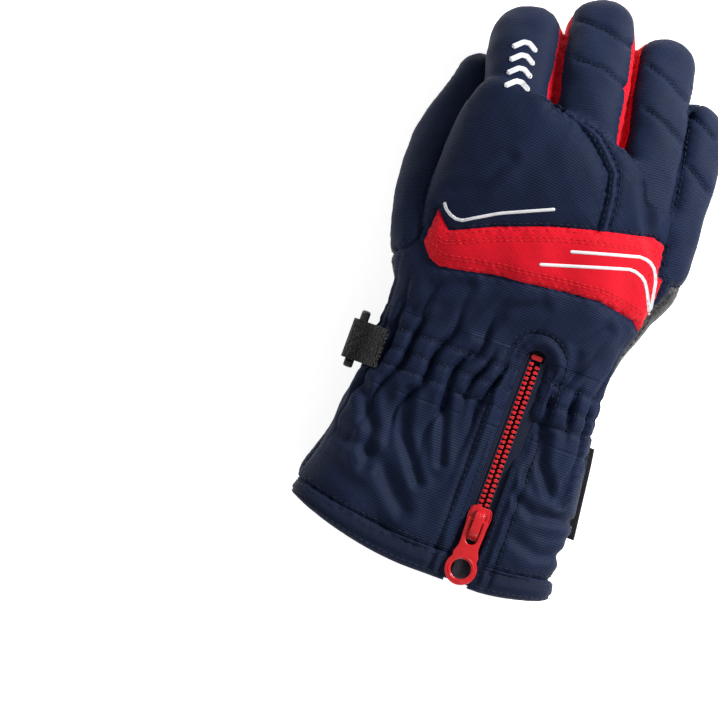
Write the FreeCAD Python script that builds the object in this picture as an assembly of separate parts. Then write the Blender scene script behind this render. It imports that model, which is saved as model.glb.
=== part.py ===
"""Right-hand junior ski glove with an insulated, fleece-lined shell, a zipped gauntlet cuff and a pair clip.

The glove rests on its palm: +Z is up through the back of the hand, +Y runs from the cuff to the fingertips and
the thumb is on the -X side. Lengths are millimetres. Everything is modelled about the middle of the wrist and
moved, in save_all, so that the origin is under the middle of the glove, on the surface that it rests on.
"""
import FreeCAD, Part
import math
import os

Vector = FreeCAD.Vector

# ---- driving dimensions -------------------------------------------------------------------------------------
HEM_Y = -82.0            # cuff mouth, measured from the wrist
REACH = 400.0            # longer than the glove, for cutting tools
SHELL_T = 1.3            # outer fabric or leather
LAYER_GAP = 0.2          # air between one layer and the next
WADDING_T = 1.9
MEMBRANE_T = 0.4
LINING_T = 0.8
SEAM_GAP = 0.1           # air between pieces that only touch in the real glove
SLIVER = 2.0             # a boolean's leftovers below this volume are dropped

WADDING_AT = SHELL_T + LAYER_GAP
MEMBRANE_AT = WADDING_AT + WADDING_T + LAYER_GAP
LINING_AT = MEMBRANE_AT + MEMBRANE_T + LAYER_GAP

HAND_POINTS = 20         # corners of a section through the hand or the cuff
FINGER_POINTS = 12

# Cuff and hand, from the cuff mouth to the roots of the fingers: y, middle x, middle z, half width, half
# height, roundness (1 is an ellipse, less is boxier), forward lean of the section in degrees, droop towards the
# little finger, and how much further back the section lies per millimetre towards the little finger.
HAND_STATIONS = [
    (HEM_Y, -2.5, 20.0, 53.5, 20.0, 0.60, 0, 0.0, 0.0),
    (-55.0, -2.0, 20.3, 51.0, 19.7, 0.60, 0, 0.0, 0.0),
    (-25.0, -2.0, 21.0, 47.5, 19.0, 0.60, 0, 0.0, 0.0),
    (0.0, -1.2, 22.5, 44.0, 17.5, 0.64, 0, 0.0, 0.0),
    (18.0, -0.5, 24.5, 46.0, 17.5, 0.70, 4, 0.0012, 0.0),
    (42.0, 2.0, 30.5, 49.0, 19.5, 0.80, 12, 0.0030, 0.05),
    (66.0, 4.5, 35.5, 50.0, 20.0, 0.82, 22, 0.0050, 0.12),
    (84.0, 5.0, 38.0, 48.5, 18.0, 0.82, 31, 0.0062, 0.18),
    (93.0, 5.0, 38.5, 46.0, 15.0, 0.82, 36, 0.0066, 0.20),
]
DROOP_FROM_X = -5.0      # the droop starts here and grows with the square of the distance

# Fingers: root centre, lean towards the thumb in degrees, first and last pitch in degrees, length of the
# centre line, half width, half height, roll towards the little finger in degrees.
FINGERS = {
    "index": ((-24.5, 84.0, 37.0), 11.0, -4.0, -52.0, 57.0, 11.9, 12.4, -6.0),
    "middle": ((3.5, 86.0, 37.5), 12.5, -4.0, -54.0, 68.5, 11.9, 12.6, 0.0),
    "ring": ((30.0, 80.0, 32.5), 13.0, -3.0, -48.0, 67.5, 10.9, 12.2, 16.0),
    "little": ((47.0, 57.0, 22.2), 5.5, 6.0, -34.0, 68.0, 9.6, 11.0, 38.0),
}
FINGER_ROUNDNESS = 0.82
SEAM_UP = 7.6            # finger pads and finger backs start this far below and above the centre line
THUMB_PATH = [           # centre and radius
    ((-26.0, 16.0, 24.0), 16.5),
    ((-37.0, 38.0, 23.5), 16.0),
    ((-44.5, 60.0, 20.5), 14.6),
    ((-48.0, 82.0, 15.5), 12.6),
    ((-45.8, 104.0, 13.2), 11.2),
]
TIP_SHARES = ((0.0, 1.0), (0.45, 0.89), (0.80, 0.60), (0.97, 0.24))   # along and across a rounded tip

# Seam between the upper side and the underside, seen from the thumb side.
SIDE_SEAM = [(-120, 20), (-20, 21), (0, 22.5), (18, 24), (42, 28), (66, 30), (84, 31), (140, 31)]

# Outlines seen from above.
BAND_OUTLINE = [
    (-70, 40), (-41, 52), (-34, 44), (4, 59.4), (43.8, 69.7), (47.3, 67.4), (70, 62),
    (70, 31), (48.5, 34), (40, 36.4), (12, 35.2), (-17.5, 32.9), (-32.3, 30.6), (-70, 31),
]
WELT_LINE = [(-7, 120), (-7.7, 106), (7.2, 97.2), (18, 86.8), (20.3, 77), (21.7, 60)]
WELT_HALF = 2.0
WELT_RISE = 0.7          # how far the welt stands above the fabric
LINES = [
    [(-39, 54.2), (-36.6, 51), (-31.4, 49.2), (-18, 57.1), (1.6, 65.8)],
    [(12.6, 52.7), (39.8, 60.5), (44.6, 59.2), (47.7, 54.6), (50, 42.7)],
    [(3.2, 44.1), (37.8, 54.7), (43.2, 53), (46.1, 48.7), (50.2, 40.9)],
]
LINE_HALF = 0.55
PRINT_T = 0.3
MOTIF_BARS = 3           # raised bars across the back of the index finger
MOTIF_AT = (-30.0, 108.0)
MOTIF_STEP = 4.0

PALM_EDGE_Y = 10.0       # lower edge of the leather palm
GAITER_Y = -20.0         # the gathered wrist runs from here up to the palm
ELASTIC_Y = (-13.0, 4.0)
ELASTIC_T = 1.0
PATCH_Y = 80.0           # the thumb's tip patch starts here
BINDING_WIDE = 11.0
BINDING_T = 0.9
FOLD_T = 2.0             # binding folded round the raw edge
GROUND_Z = -0.5          # the binding lies flat on the surface here

# Zip, straight along Y on the top of the cuff.
ZIP_X = 15.0
ZIP_TOP_Y = 13.0
SLOT_HALF = 5.4
TAPE_Z = 37.3
TAPE_T = 0.6
TAPE_REACH = 6.6         # from the zip's middle to the tape's outer edge
TOOTH_IN = 1.0           # from the zip's middle to the tip and to the root of a tooth
TOOTH_OUT = 2.9
TOOTH_Z = (36.8, 38.4)
TOOTH_PITCH = 2.0
TOOTH_LONG = 1.3
RAIL_WIDE = 0.6
CHAIN_Y = (-79.0, 9.0)
GUSSET_Z = (33.0, 33.7)
GUSSET_HALF = 9.0

# Zip slider and pull.
SLIDER_Y = (-64.0, -50.5)
SLIDER_HALF = 4.6
SLIDER_PLATES_Z = ((35.5, 36.4), (38.8, 39.7))
FLANGE_WIDE = 0.7
FLANGE_DEEP = 0.5
BRIDGE_HALF = 0.6
BAIL_HALF = 1.8
BAIL_Y = (-63.0, -52.0)
BAIL_T = 1.0
BAIL_INSIDE = 2.6
PIN_Y = -56.0
PIN_R = 0.75
PULL_HALF = 4.2
PULL_WINDOW_HALF = 2.3
PULL_WINDOW_END = 8.6    # from the pin
PULL_RING_AT = 19.6
PULL_RING_R = 6.3
PULL_EYE_R = 3.9
PULL_T = 1.4

# Hanging loop and pair clip on the thumb side of the wrist.
LOOP_Y = (-14.5, 1.5)
LOOP_X = (-56.0, -46.5)
LOOP_Z = (17.0, 28.0)
LOOP_T = 1.1
CLIP_X = (-54.4, -50.6)
CLIP_Y = (-17.5, 5.5)
CLIP_Z = (18.9, 26.1)
CLIP_ROD = 2.2
CLIP_MOUTH = 4.0         # from the tip of the hook back to its end

# Label in the side seam on the little finger's side.
LABEL_Y = (-51.0, -15.0)
LABEL_OUT = 5.5
LABEL_Z = (19.4, 20.8)

parts = {}


# ---- shape helpers ------------------------------------------------------------------------------------------
def facet(*corners):
    return Part.Face(Part.makePolygon(list(corners) + [corners[0]]))


def faceted_loft(rings):
    """Closed solid of flat triangles through rings of points, each ring flat and all of the same count."""
    faces = [facet(*rings[0]), facet(*rings[-1])]
    count = len(rings[0])
    for ring, after in zip(rings, rings[1:]):
        for i in range(count):
            j = (i + 1) % count
            faces.append(facet(ring[i], ring[j], after[j]))
            faces.append(facet(ring[i], after[j], after[i]))
    solid = Part.Solid(Part.Shell(faces))
    if solid.Volume < 0:
        solid.reverse()
    return solid


def superellipse(half_a, half_b, roundness, count):
    """(across, up) offsets of a rounded section, the first one on +across."""
    offsets = []
    for i in range(count):
        c = math.cos(2 * math.pi * i / count)
        s = math.sin(2 * math.pi * i / count)
        across = half_a * math.copysign(abs(c) ** roundness, c)
        up = half_b * math.copysign(abs(s) ** roundness, s)
        offsets.append((across, up))
    return offsets


def hand_section(station, inset):
    y, mid_x, mid_z, half_a, half_b, roundness, lean, droop, back = station
    lean = math.radians(lean)
    points = []
    for across, up in superellipse(half_a - inset, half_b - inset, roundness, HAND_POINTS):
        up -= droop * max(0.0, mid_x + across - DROOP_FROM_X) ** 2
        points.append(Vector(mid_x + across, y + up * math.sin(lean) - back * across, mid_z + up * math.cos(lean)))
    return points


def hand_solid(inset, hem_past=0.0):
    """Cuff and hand in one loft. hem_past carries the open end further out, so that a cut leaves no skin there."""
    stations = list(HAND_STATIONS)
    if hem_past:
        stations.insert(0, (HEM_Y - hem_past,) + stations[0][1:])
    last = list(stations[-1])
    last[0] -= inset
    stations[-1] = tuple(last)
    return faceted_loft([hand_section(s, inset) for s in stations])


def finger_frames(name, steps=5):
    """Centre, forward, sideways and upward directions along a finger, the last one where the tip starts."""
    root, lean, pitch0, pitch1, length, half_a, half_b, roll = FINGERS[name]
    lean, pitch0, pitch1, roll = (math.radians(v) for v in (lean, pitch0, pitch1, roll))
    side0 = Vector(math.cos(lean), math.sin(lean), 0)
    ahead = Vector(-math.sin(lean), math.cos(lean), 0)
    straight = length - half_a
    bend = (pitch1 - pitch0) / length
    frames = []
    for i in range(steps + 1):
        s = straight * i / steps
        pitch = pitch0 + bend * s
        along = (math.sin(pitch) - math.sin(pitch0)) / bend
        drop = (math.cos(pitch0) - math.cos(pitch)) / bend
        centre = Vector(*root) + ahead * along + Vector(0, 0, drop)
        forward = ahead * math.cos(pitch) + Vector(0, 0, math.sin(pitch))
        up0 = side0.cross(forward)
        side = side0 * math.cos(roll) - up0 * math.sin(roll)
        up = side0 * math.sin(roll) + up0 * math.cos(roll)
        frames.append((centre, forward, side, up))
    return frames


def ring_of_points(frame, half_a, half_b, along=0.0):
    centre, forward, side, up = frame
    middle = centre + forward * along
    return [middle + side * a + up * b for a, b in superellipse(half_a, half_b, FINGER_ROUNDNESS, FINGER_POINTS)]


def rounded_tip(frame, half_a, half_b):
    return [ring_of_points(frame, half_a * w, half_b * w, half_a * along) for along, w in TIP_SHARES]


def finger_solid(name, inset):
    half_a, half_b = (half - inset for half in FINGERS[name][5:7])
    frames = finger_frames(name)
    rings = [ring_of_points(frame, half_a, half_b) for frame in frames[:-1]]
    return faceted_loft(rings + rounded_tip(frames[-1], half_a, half_b))


def finger_block(frames, left, right, low, high):
    """The space beside and above a finger's centre line within the given distances, for cutting panels."""
    corners = [(left, low), (right, low), (right, high), (left, high)]
    centre, forward, side, up = frames[0]
    behind = (centre - forward * 40, forward, side, up)
    centre, forward, side, up = frames[-1]
    ahead = (centre + forward * 40, forward, side, up)
    frames = [behind] + list(frames) + [ahead]
    return faceted_loft([[c + s * a + u * b for a, b in corners] for c, f, s, u in frames])


def thumb_frames(steps=8):
    """Centre, forward, sideways and upward directions and radius along the thumb."""
    path = Part.BSplineCurve()
    path.interpolate([Vector(*p) for p, r in THUMB_PATH])
    knots = [path.parameter(Vector(*p)) for p, r in THUMB_PATH]
    frames = []
    for i in range(steps + 1):
        t = path.FirstParameter + (path.LastParameter - path.FirstParameter) * i / steps
        k = max(j for j in range(len(knots) - 1) if knots[j] <= t + 1e-9)
        share = (t - knots[k]) / (knots[k + 1] - knots[k])
        radius = THUMB_PATH[k][1] + (THUMB_PATH[k + 1][1] - THUMB_PATH[k][1]) * share
        forward = path.tangent(t)[0]
        side = forward.cross(Vector(0, 0, 1)).normalize()
        frames.append((path.value(t), forward, side, side.cross(forward), radius))
    return frames


def thumb_solid(inset):
    frames = thumb_frames()
    rings = [ring_of_points(frame[:4], frame[4] - inset, frame[4] - inset) for frame in frames[:-1]]
    radius = frames[-1][4] - inset
    return faceted_loft(rings + rounded_tip(frames[-1][:4], radius, radius))


def plan_prism(outline, low=-50.0, high=150.0):
    return facet(*[Vector(x, y, low) for x, y in outline]).extrude(Vector(0, 0, high - low))


def side_prism(outline):
    """Prism across the glove from a (y, z) outline."""
    return facet(*[Vector(-REACH / 2, y, z) for y, z in outline]).extrude(Vector(REACH, 0, 0))


def box(xs, ys, zs):
    return Part.makeBox(xs[1] - xs[0], ys[1] - ys[0], zs[1] - zs[0], Vector(xs[0], ys[0], zs[0]))


def slice_y(low, high):
    return box((-REACH, REACH), (low, high), (-REACH, REACH))


def strip_outline(line, half):
    """Outline of a ribbon of even width along a (x, y) line."""
    left, right = [], []
    for i, (x, y) in enumerate(line):
        x0, y0 = line[max(i - 1, 0)]
        x1, y1 = line[min(i + 1, len(line) - 1)]
        length = math.hypot(x1 - x0, y1 - y0)
        nx, ny = -(y1 - y0) / length, (x1 - x0) / length
        left.append((x + nx * half, y + ny * half))
        right.append((x - nx * half, y - ny * half))
    return left + right[::-1]


def join(*shapes):
    """One shape of the solids that belong together, fused where they touch."""
    solids = [s for shape in shapes for s in shape.Solids if s.Volume > SLIVER]
    if len(solids) == 1:
        return solids[0]
    fused = solids[0].multiFuse(solids[1:])
    solids = [s for s in fused.Solids if s.Volume > SLIVER]
    return solids[0] if len(solids) == 1 else Part.makeCompound(solids)


def keep(name, *shapes):
    parts[name] = join(*shapes)
    print(f"{name:26s} solids {len(parts[name].Solids)} volume {parts[name].Volume:9.0f} {parts[name].isValid()}")


# ---- layers of the glove ------------------------------------------------------------------------------------
DIGITS = ("index", "middle", "ring", "little", "thumb")
NEIGHBOURS = {"little": "ring", "thumb": "index"}      # these press against each other


def digit_solid(name, inset):
    return thumb_solid(inset) if name == "thumb" else finger_solid(name, inset)


def layer(outer, inner):
    """One layer of the glove between two insets: its hand with the cuff, and each digit up to the hand."""
    hand = hand_solid(outer)
    pieces = {"hand": hand.cut(hand_solid(inner, 5.0))}
    for name in DIGITS:
        hollow = digit_solid(name, inner)
        pieces["hand"] = pieces["hand"].cut(hollow)
        pieces[name] = digit_solid(name, outer).cut(hollow).cut(hand)
        if name in NEIGHBOURS:
            pieces[name] = pieces[name].cut(digit_solid(NEIGHBOURS[name], -SEAM_GAP))
    return pieces


def between(outer, inner):
    return hand_solid(outer, 0.0).cut(hand_solid(inner, 5.0))


def build_shell():
    """Outer panels, cut out of the first layer along the seams."""
    shell = layer(0.0, SHELL_T)
    hand = shell["hand"].cut(slice_y(-REACH, HEM_Y + FOLD_T + SEAM_GAP))
    slot = box((ZIP_X - SLOT_HALF, ZIP_X + SLOT_HALF), (-REACH, ZIP_TOP_Y), (30.0, 60.0))
    hand = hand.cut(slot)
    under = side_prism(SIDE_SEAM + [(140, -60), (-120, -60)])
    lower = hand.common(under)
    upper = hand.cut(under)

    finger = {}
    for name in FINGERS:
        frames = finger_frames(name)
        back = finger_block(frames, -30, 30, SEAM_UP, 30)
        pad = finger_block(frames, -30, 30, -30, -SEAM_UP)
        thumb_side = finger_block(frames, -30, 0, -30, 30)
        piece = shell[name]
        sides = piece.cut(back).cut(pad)
        finger[name, "back"] = piece.common(back)
        finger[name, "pad"] = piece.common(pad)
        finger[name, "thumb side"] = sides.common(thumb_side)
        finger[name, "little side"] = sides.cut(thumb_side)

    cuff = slice_y(-REACH, GAITER_Y)
    wrist = slice_y(GAITER_Y, PALM_EDGE_Y)
    beyond = slice_y(PALM_EDGE_Y, REACH)
    thumb_half = box((-REACH, ZIP_X), (-REACH, REACH), (-REACH, REACH))
    keep("cuff_palm_panel", lower.common(cuff))
    keep("cuff_thumb_side_panel", upper.common(cuff).common(thumb_half))
    keep("cuff_little_side_panel", upper.common(cuff).cut(thumb_half))
    keep("wrist_gaiter", hand.common(wrist))

    palm = lower.common(beyond)
    keep("palm_panel", palm, finger["index", "pad"], finger["middle", "pad"], finger["ring", "pad"])
    keep("little_finger_pad", finger["little", "pad"])

    back = upper.common(beyond)
    band = plan_prism(BAND_OUTLINE)
    welt = plan_prism(strip_outline(WELT_LINE, WELT_HALF))
    keep("accent_band", back.common(band))
    back = back.cut(band)
    above_band = plan_prism([(-90, 43), (0, 47), (90, 51), (90, 130), (-90, 130)])
    keep("wrist_back_panel", back.cut(above_band))
    back = back.common(above_band)
    welt_solid = between(-WELT_RISE, SHELL_T).common(welt).cut(under).cut(band)
    for name in ("index", "middle", "ring"):
        welt_solid = welt_solid.cut(digit_solid(name, -0.2))
    keep("welt_seam", welt_solid)
    back = back.cut(welt)
    inner_side = plan_prism(WELT_LINE + [(24, 40), (-90, 30), (-90, 130)])
    keep("back_inner_panel", back.common(inner_side), finger["index", "back"], finger["index", "thumb side"])
    keep("back_outer_panel", back.cut(inner_side), finger["middle", "back"], finger["ring", "back"],
         finger["little", "back"], finger["little", "little side"])
    keep("fourchette_index_middle", finger["index", "little side"], finger["middle", "thumb side"])
    keep("fourchette_middle_ring", finger["middle", "little side"], finger["ring", "thumb side"])
    keep("fourchette_ring_little", finger["ring", "little side"], finger["little", "thumb side"])

    thumb = shell["thumb"]
    thumb_back = finger_block([frame[:4] for frame in thumb_frames()], -40, 40, 0, 40)
    tip = slice_y(PATCH_Y, REACH)
    thumb_pad = thumb.cut(thumb_back)
    keep("thumb_back_panel", thumb.common(thumb_back))
    keep("thumb_palm_panel", thumb_pad.cut(tip))
    keep("thumb_tip_patch", thumb_pad.common(tip))


def build_layers():
    """Wadding, waterproof membrane and lining, and the elastic in the wrist."""
    hem = slice_y(-REACH, HEM_Y + FOLD_T + SEAM_GAP)
    zip_room = box((ZIP_X - TAPE_REACH - 0.5, ZIP_X + TAPE_REACH + 0.5), (-REACH, ZIP_TOP_Y + 1), (30.0, 60.0))
    elastic_room = slice_y(ELASTIC_Y[0] - SEAM_GAP, ELASTIC_Y[1] + SEAM_GAP)
    cuff = slice_y(-REACH, GAITER_Y)

    wadding = layer(WADDING_AT, WADDING_AT + WADDING_T)
    keep("insulation_hand", wadding["hand"].cut(hem).cut(zip_room).cut(elastic_room))
    keep("insulation_fingers", *[wadding[name] for name in FINGERS])
    keep("insulation_thumb", wadding["thumb"])

    elastic = between(WADDING_AT, WADDING_AT + ELASTIC_T).common(slice_y(*ELASTIC_Y))
    keep("wrist_elastic", elastic.cut(zip_room))

    membrane = layer(MEMBRANE_AT, MEMBRANE_AT + MEMBRANE_T)
    keep("membrane", membrane["hand"].cut(hem).cut(zip_room), *[membrane[name] for name in DIGITS])

    lining = layer(LINING_AT, LINING_AT + LINING_T)
    slit = box((ZIP_X - SLIDER_HALF - 0.6, ZIP_X + SLIDER_HALF + 0.6), (-REACH, ZIP_TOP_Y), (30.0, 60.0))
    inner = lining["hand"].cut(hem).cut(slit)
    keep("cuff_lining", inner.common(cuff))
    keep("hand_lining", inner.cut(cuff), *[lining[name] for name in DIGITS])

    gusset = box((ZIP_X - GUSSET_HALF, ZIP_X + GUSSET_HALF), (HEM_Y + FOLD_T + SEAM_GAP, ZIP_TOP_Y), GUSSET_Z)
    keep("zip_gusset", gusset)


def build_trim():
    zip_gap = box((ZIP_X - TAPE_REACH - 1, ZIP_X + TAPE_REACH + 1), (-REACH, 0), (30.0, 60.0))
    outer_leg = hand_solid(-BINDING_T, 0.0).cut(hand_solid(-SEAM_GAP, 5.0))
    outer_leg = outer_leg.common(slice_y(HEM_Y, HEM_Y + BINDING_WIDE))
    fold = hand_solid(-BINDING_T, 0.0).cut(hand_solid(LINING_AT + LINING_T, 5.0))
    fold = fold.common(slice_y(HEM_Y, HEM_Y + FOLD_T))
    above_ground = box((-REACH, REACH), (-REACH, REACH), (GROUND_Z, REACH))
    keep("hem_binding", outer_leg.fuse(fold).cut(zip_gap).common(above_ground))

    skin = between(-PRINT_T - 0.05, -0.05)
    stripes = [skin.common(plan_prism(strip_outline(line, LINE_HALF), 25, 150)) for line in LINES]
    keep("printed_lines", *stripes)

    finger_skin = finger_solid("index", -PRINT_T - 0.05).cut(finger_solid("index", -0.05))
    bars = []
    for i in range(MOTIF_BARS):
        x, y = MOTIF_AT[0] - 0.19 * i * MOTIF_STEP, MOTIF_AT[1] + i * MOTIF_STEP
        bar = plan_prism([(x - 5, y - 2.2), (x, y), (x + 5, y - 0.4), (x + 5, y + 1.0), (x, y + 1.4), (x - 5, y - 0.8)], 30)
        bars.append(finger_skin.common(bar))
    keep("finger_motif", *bars)

    y0, y1 = LABEL_Y
    label = plan_prism([(40, y0), (40, y1), (45.8 + LABEL_OUT, y1), (50.5 + LABEL_OUT, y0)], *LABEL_Z)
    keep("side_label", label.cut(hand_solid(-SEAM_GAP)))


def build_zip():
    y0, y1 = CHAIN_Y
    for name, way in (("thumb_side", -1), ("little_side", 1)):
        def across(near, far):
            return sorted((ZIP_X + way * near, ZIP_X + way * far))
        tape = box(across(TOOTH_OUT, TAPE_REACH), (HEM_Y + FOLD_T + SEAM_GAP, ZIP_TOP_Y), (TAPE_Z, TAPE_Z + TAPE_T))
        keep("zip_tape_" + name, tape)
        teeth = [box(across(TOOTH_OUT - RAIL_WIDE, TOOTH_OUT), CHAIN_Y, (TAPE_Z - 0.1, TAPE_Z + TAPE_T + 0.1))]
        offset = 0.0 if way < 0 else TOOTH_PITCH / 2
        for i in range(int((y1 - y0 - offset) / TOOTH_PITCH)):
            y = y0 + offset + i * TOOTH_PITCH
            teeth.append(box(across(TOOTH_IN, TOOTH_OUT - 0.1), (y, y + TOOTH_LONG), TOOTH_Z))
        keep("zip_teeth_" + name, *teeth)
    stop = box((ZIP_X - TOOTH_OUT, ZIP_X + TOOTH_OUT), (CHAIN_Y[1] + 0.3, CHAIN_Y[1] + 2.3), TOOTH_Z)
    keep("zip_top_stop", stop)

    (low0, low1), (high0, high1) = SLIDER_PLATES_Z
    edge = (ZIP_X - SLIDER_HALF, ZIP_X + SLIDER_HALF)
    slider = [box(edge, SLIDER_Y, (low0, low1)), box(edge, SLIDER_Y, (high0, high1))]
    slider.append(box((ZIP_X - BRIDGE_HALF, ZIP_X + BRIDGE_HALF), (SLIDER_Y[0], SLIDER_Y[0] + 4), (low0, high1)))
    for x in (edge[0], edge[1] - FLANGE_WIDE):
        slider.append(box((x, x + FLANGE_WIDE), SLIDER_Y, (low0, low1 + FLANGE_DEEP - 0.2)))
        slider.append(box((x, x + FLANGE_WIDE), SLIDER_Y, (high0 - FLANGE_DEEP, high1)))
    keep("zip_slider", *slider)
    bail_edge = (ZIP_X - BAIL_HALF, ZIP_X + BAIL_HALF)
    top = high1 + BAIL_INSIDE + BAIL_T
    bail = box(bail_edge, BAIL_Y, (high1, top))
    bail = bail.cut(box(bail_edge, (BAIL_Y[0] + BAIL_T, BAIL_Y[1] - BAIL_T), (high1 - 1, top - BAIL_T)))
    keep("slider_bail", bail)

    pin_z = high1 + BAIL_INSIDE / 2
    zs = (pin_z - PULL_T / 2, pin_z + PULL_T / 2)
    ring_y = PIN_Y - PULL_RING_AT
    arms = box((ZIP_X - PULL_HALF, ZIP_X + PULL_HALF), (ring_y, PIN_Y + PIN_R), zs)
    ring = Part.makeCylinder(PULL_RING_R, PULL_T, Vector(ZIP_X, ring_y, zs[0]))
    window = box((ZIP_X - PULL_WINDOW_HALF, ZIP_X + PULL_WINDOW_HALF), (PIN_Y - PULL_WINDOW_END, PIN_Y + 5), (30, 50))
    eye = Part.makeCylinder(PULL_EYE_R, 20, Vector(ZIP_X, ring_y, 30))
    pin = Part.makeCylinder(PIN_R, 2 * PULL_HALF, Vector(ZIP_X - PULL_HALF, PIN_Y, pin_z), Vector(1, 0, 0))
    keep("zip_pull", arms.fuse(ring).cut(window).cut(eye).fuse(pin))


def build_clip():
    outer = box(LOOP_X, LOOP_Y, LOOP_Z)
    inside = box((LOOP_X[0] + LOOP_T, CLIP_X[1] + 0.6), LOOP_Y, (LOOP_Z[0] + LOOP_T, LOOP_Z[1] - LOOP_T))
    keep("clip_loop", outer.cut(inside).cut(hand_solid(-SEAM_GAP)))

    y0, y1 = CLIP_Y
    z0, z1 = CLIP_Z
    hook = box(CLIP_X, CLIP_Y, CLIP_Z)
    hook = hook.cut(box(CLIP_X, (y0 - 1, y1 - CLIP_ROD), (z0 + CLIP_ROD, z1 - CLIP_ROD)))
    hook = hook.cut(box(CLIP_X, (y0 - 1, y0 + CLIP_MOUTH), (z1 - CLIP_ROD - 1, z1 + 1)))
    bead = Part.makeCylinder(1.9, CLIP_X[1] - CLIP_X[0], Vector(CLIP_X[0], y0, z0 + 1.9), Vector(1, 0, 0))
    keep("pair_hook", hook.fuse(bead))


def save_all():
    """Write every part about the point under the middle of the glove."""
    extent = Part.makeCompound(list(parts.values())).BoundBox
    shift = Vector(-extent.Center.x, -extent.Center.y, -extent.ZMin)
    print("shift", [round(v, 3) for v in shift], "size", round(extent.XLength, 2), round(extent.YLength, 2),
          round(extent.ZLength, 2))
    os.makedirs("parts", exist_ok=True)
    for name, shape in parts.items():
        moved = shape.copy()
        moved.translate(shift)
        moved.exportStep(f"parts/{name}.step")


build_shell()
build_layers()
build_trim()
build_zip()
build_clip()
save_all()
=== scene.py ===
"""Looks of a right-hand junior ski glove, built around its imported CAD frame.

Sizes in this script are millimetres in the wrist frame of the design: X across the hand with the thumb
on -X, Y towards the fingertips, Z up through the back of the hand. to_row() moves them into the row
frame, in metres.
"""

import math

import bmesh
import bpy
import numpy as np
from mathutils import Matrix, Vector
from mathutils.bvhtree import BVHTree


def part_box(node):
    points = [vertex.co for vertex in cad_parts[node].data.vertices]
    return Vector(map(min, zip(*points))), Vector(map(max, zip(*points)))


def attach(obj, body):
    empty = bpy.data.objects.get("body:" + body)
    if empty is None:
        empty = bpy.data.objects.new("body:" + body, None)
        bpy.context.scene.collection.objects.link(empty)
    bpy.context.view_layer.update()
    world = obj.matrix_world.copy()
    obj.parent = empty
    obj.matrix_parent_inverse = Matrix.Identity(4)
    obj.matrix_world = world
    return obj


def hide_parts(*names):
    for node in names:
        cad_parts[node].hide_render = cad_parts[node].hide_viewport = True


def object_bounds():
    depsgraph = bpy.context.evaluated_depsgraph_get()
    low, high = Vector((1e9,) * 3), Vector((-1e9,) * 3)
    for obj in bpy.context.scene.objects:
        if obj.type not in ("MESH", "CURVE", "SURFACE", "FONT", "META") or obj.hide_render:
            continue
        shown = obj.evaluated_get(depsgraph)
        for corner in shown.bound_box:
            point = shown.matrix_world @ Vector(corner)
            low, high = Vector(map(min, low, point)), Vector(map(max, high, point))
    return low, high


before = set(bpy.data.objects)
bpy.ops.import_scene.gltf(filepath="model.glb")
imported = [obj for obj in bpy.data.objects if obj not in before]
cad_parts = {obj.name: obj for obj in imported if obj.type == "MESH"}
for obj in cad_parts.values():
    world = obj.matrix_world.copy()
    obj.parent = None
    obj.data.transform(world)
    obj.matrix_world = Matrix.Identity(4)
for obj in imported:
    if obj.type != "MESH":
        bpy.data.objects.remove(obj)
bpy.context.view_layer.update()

# ---- driving dimensions --------------------------------------------------------------------------
HEM_Y = -82.0
GROUND_Z = -0.5
ZIP_X = 15.0
GAITER_Y = -20.0
PALM_EDGE_Y = 10.0
BINDING_Y = -71.5
HEM_LIFT_THUMB = 11.0
HEM_LIFT_LITTLE = 5.0
ELASTIC_Y = -4.5
ELASTIC_ROWS = (-7.5, 0.0, 7.5)    # rows of zigzag stitching about the elastic's middle
HAND_END_Y = 93.0          # the hand's tube ends here, inside the roots of the fingers

hem_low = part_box("hem_binding")[0]
pull_low, pull_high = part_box("zip_pull")
SHIFT = np.array([
    (pull_low.x + pull_high.x) * 500 - ZIP_X,
    hem_low.y * 1000 - HEM_Y,
    hem_low.z * 1000 - GROUND_Z,
])

# y, middle x, middle z, half width, half height, roundness, forward lean in degrees, droop towards the little
# finger, and how much further back the section lies per millimetre towards the little finger.
HAND_STATIONS = np.array([
    (HEM_Y, -2.5, 20.0, 53.5, 20.0, 0.60, 0, 0.0, 0.0),
    (-55.0, -2.0, 20.3, 51.0, 19.7, 0.60, 0, 0.0, 0.0),
    (-25.0, -2.0, 21.0, 47.5, 19.0, 0.60, 0, 0.0, 0.0),
    (0.0, -1.2, 22.5, 44.0, 17.5, 0.64, 0, 0.0, 0.0),
    (18.0, -0.5, 24.5, 46.0, 17.5, 0.70, 4, 0.0012, 0.0),
    (42.0, 2.0, 30.5, 49.0, 19.5, 0.80, 12, 0.0030, 0.05),
    (66.0, 4.5, 35.5, 50.0, 20.0, 0.82, 22, 0.0050, 0.12),
    (84.0, 5.0, 38.0, 48.5, 18.0, 0.82, 31, 0.0062, 0.18),
    (HAND_END_Y, 5.0, 38.5, 46.0, 15.0, 0.82, 36, 0.0066, 0.20),
])
DROOP_FROM_X = -5.0

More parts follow.
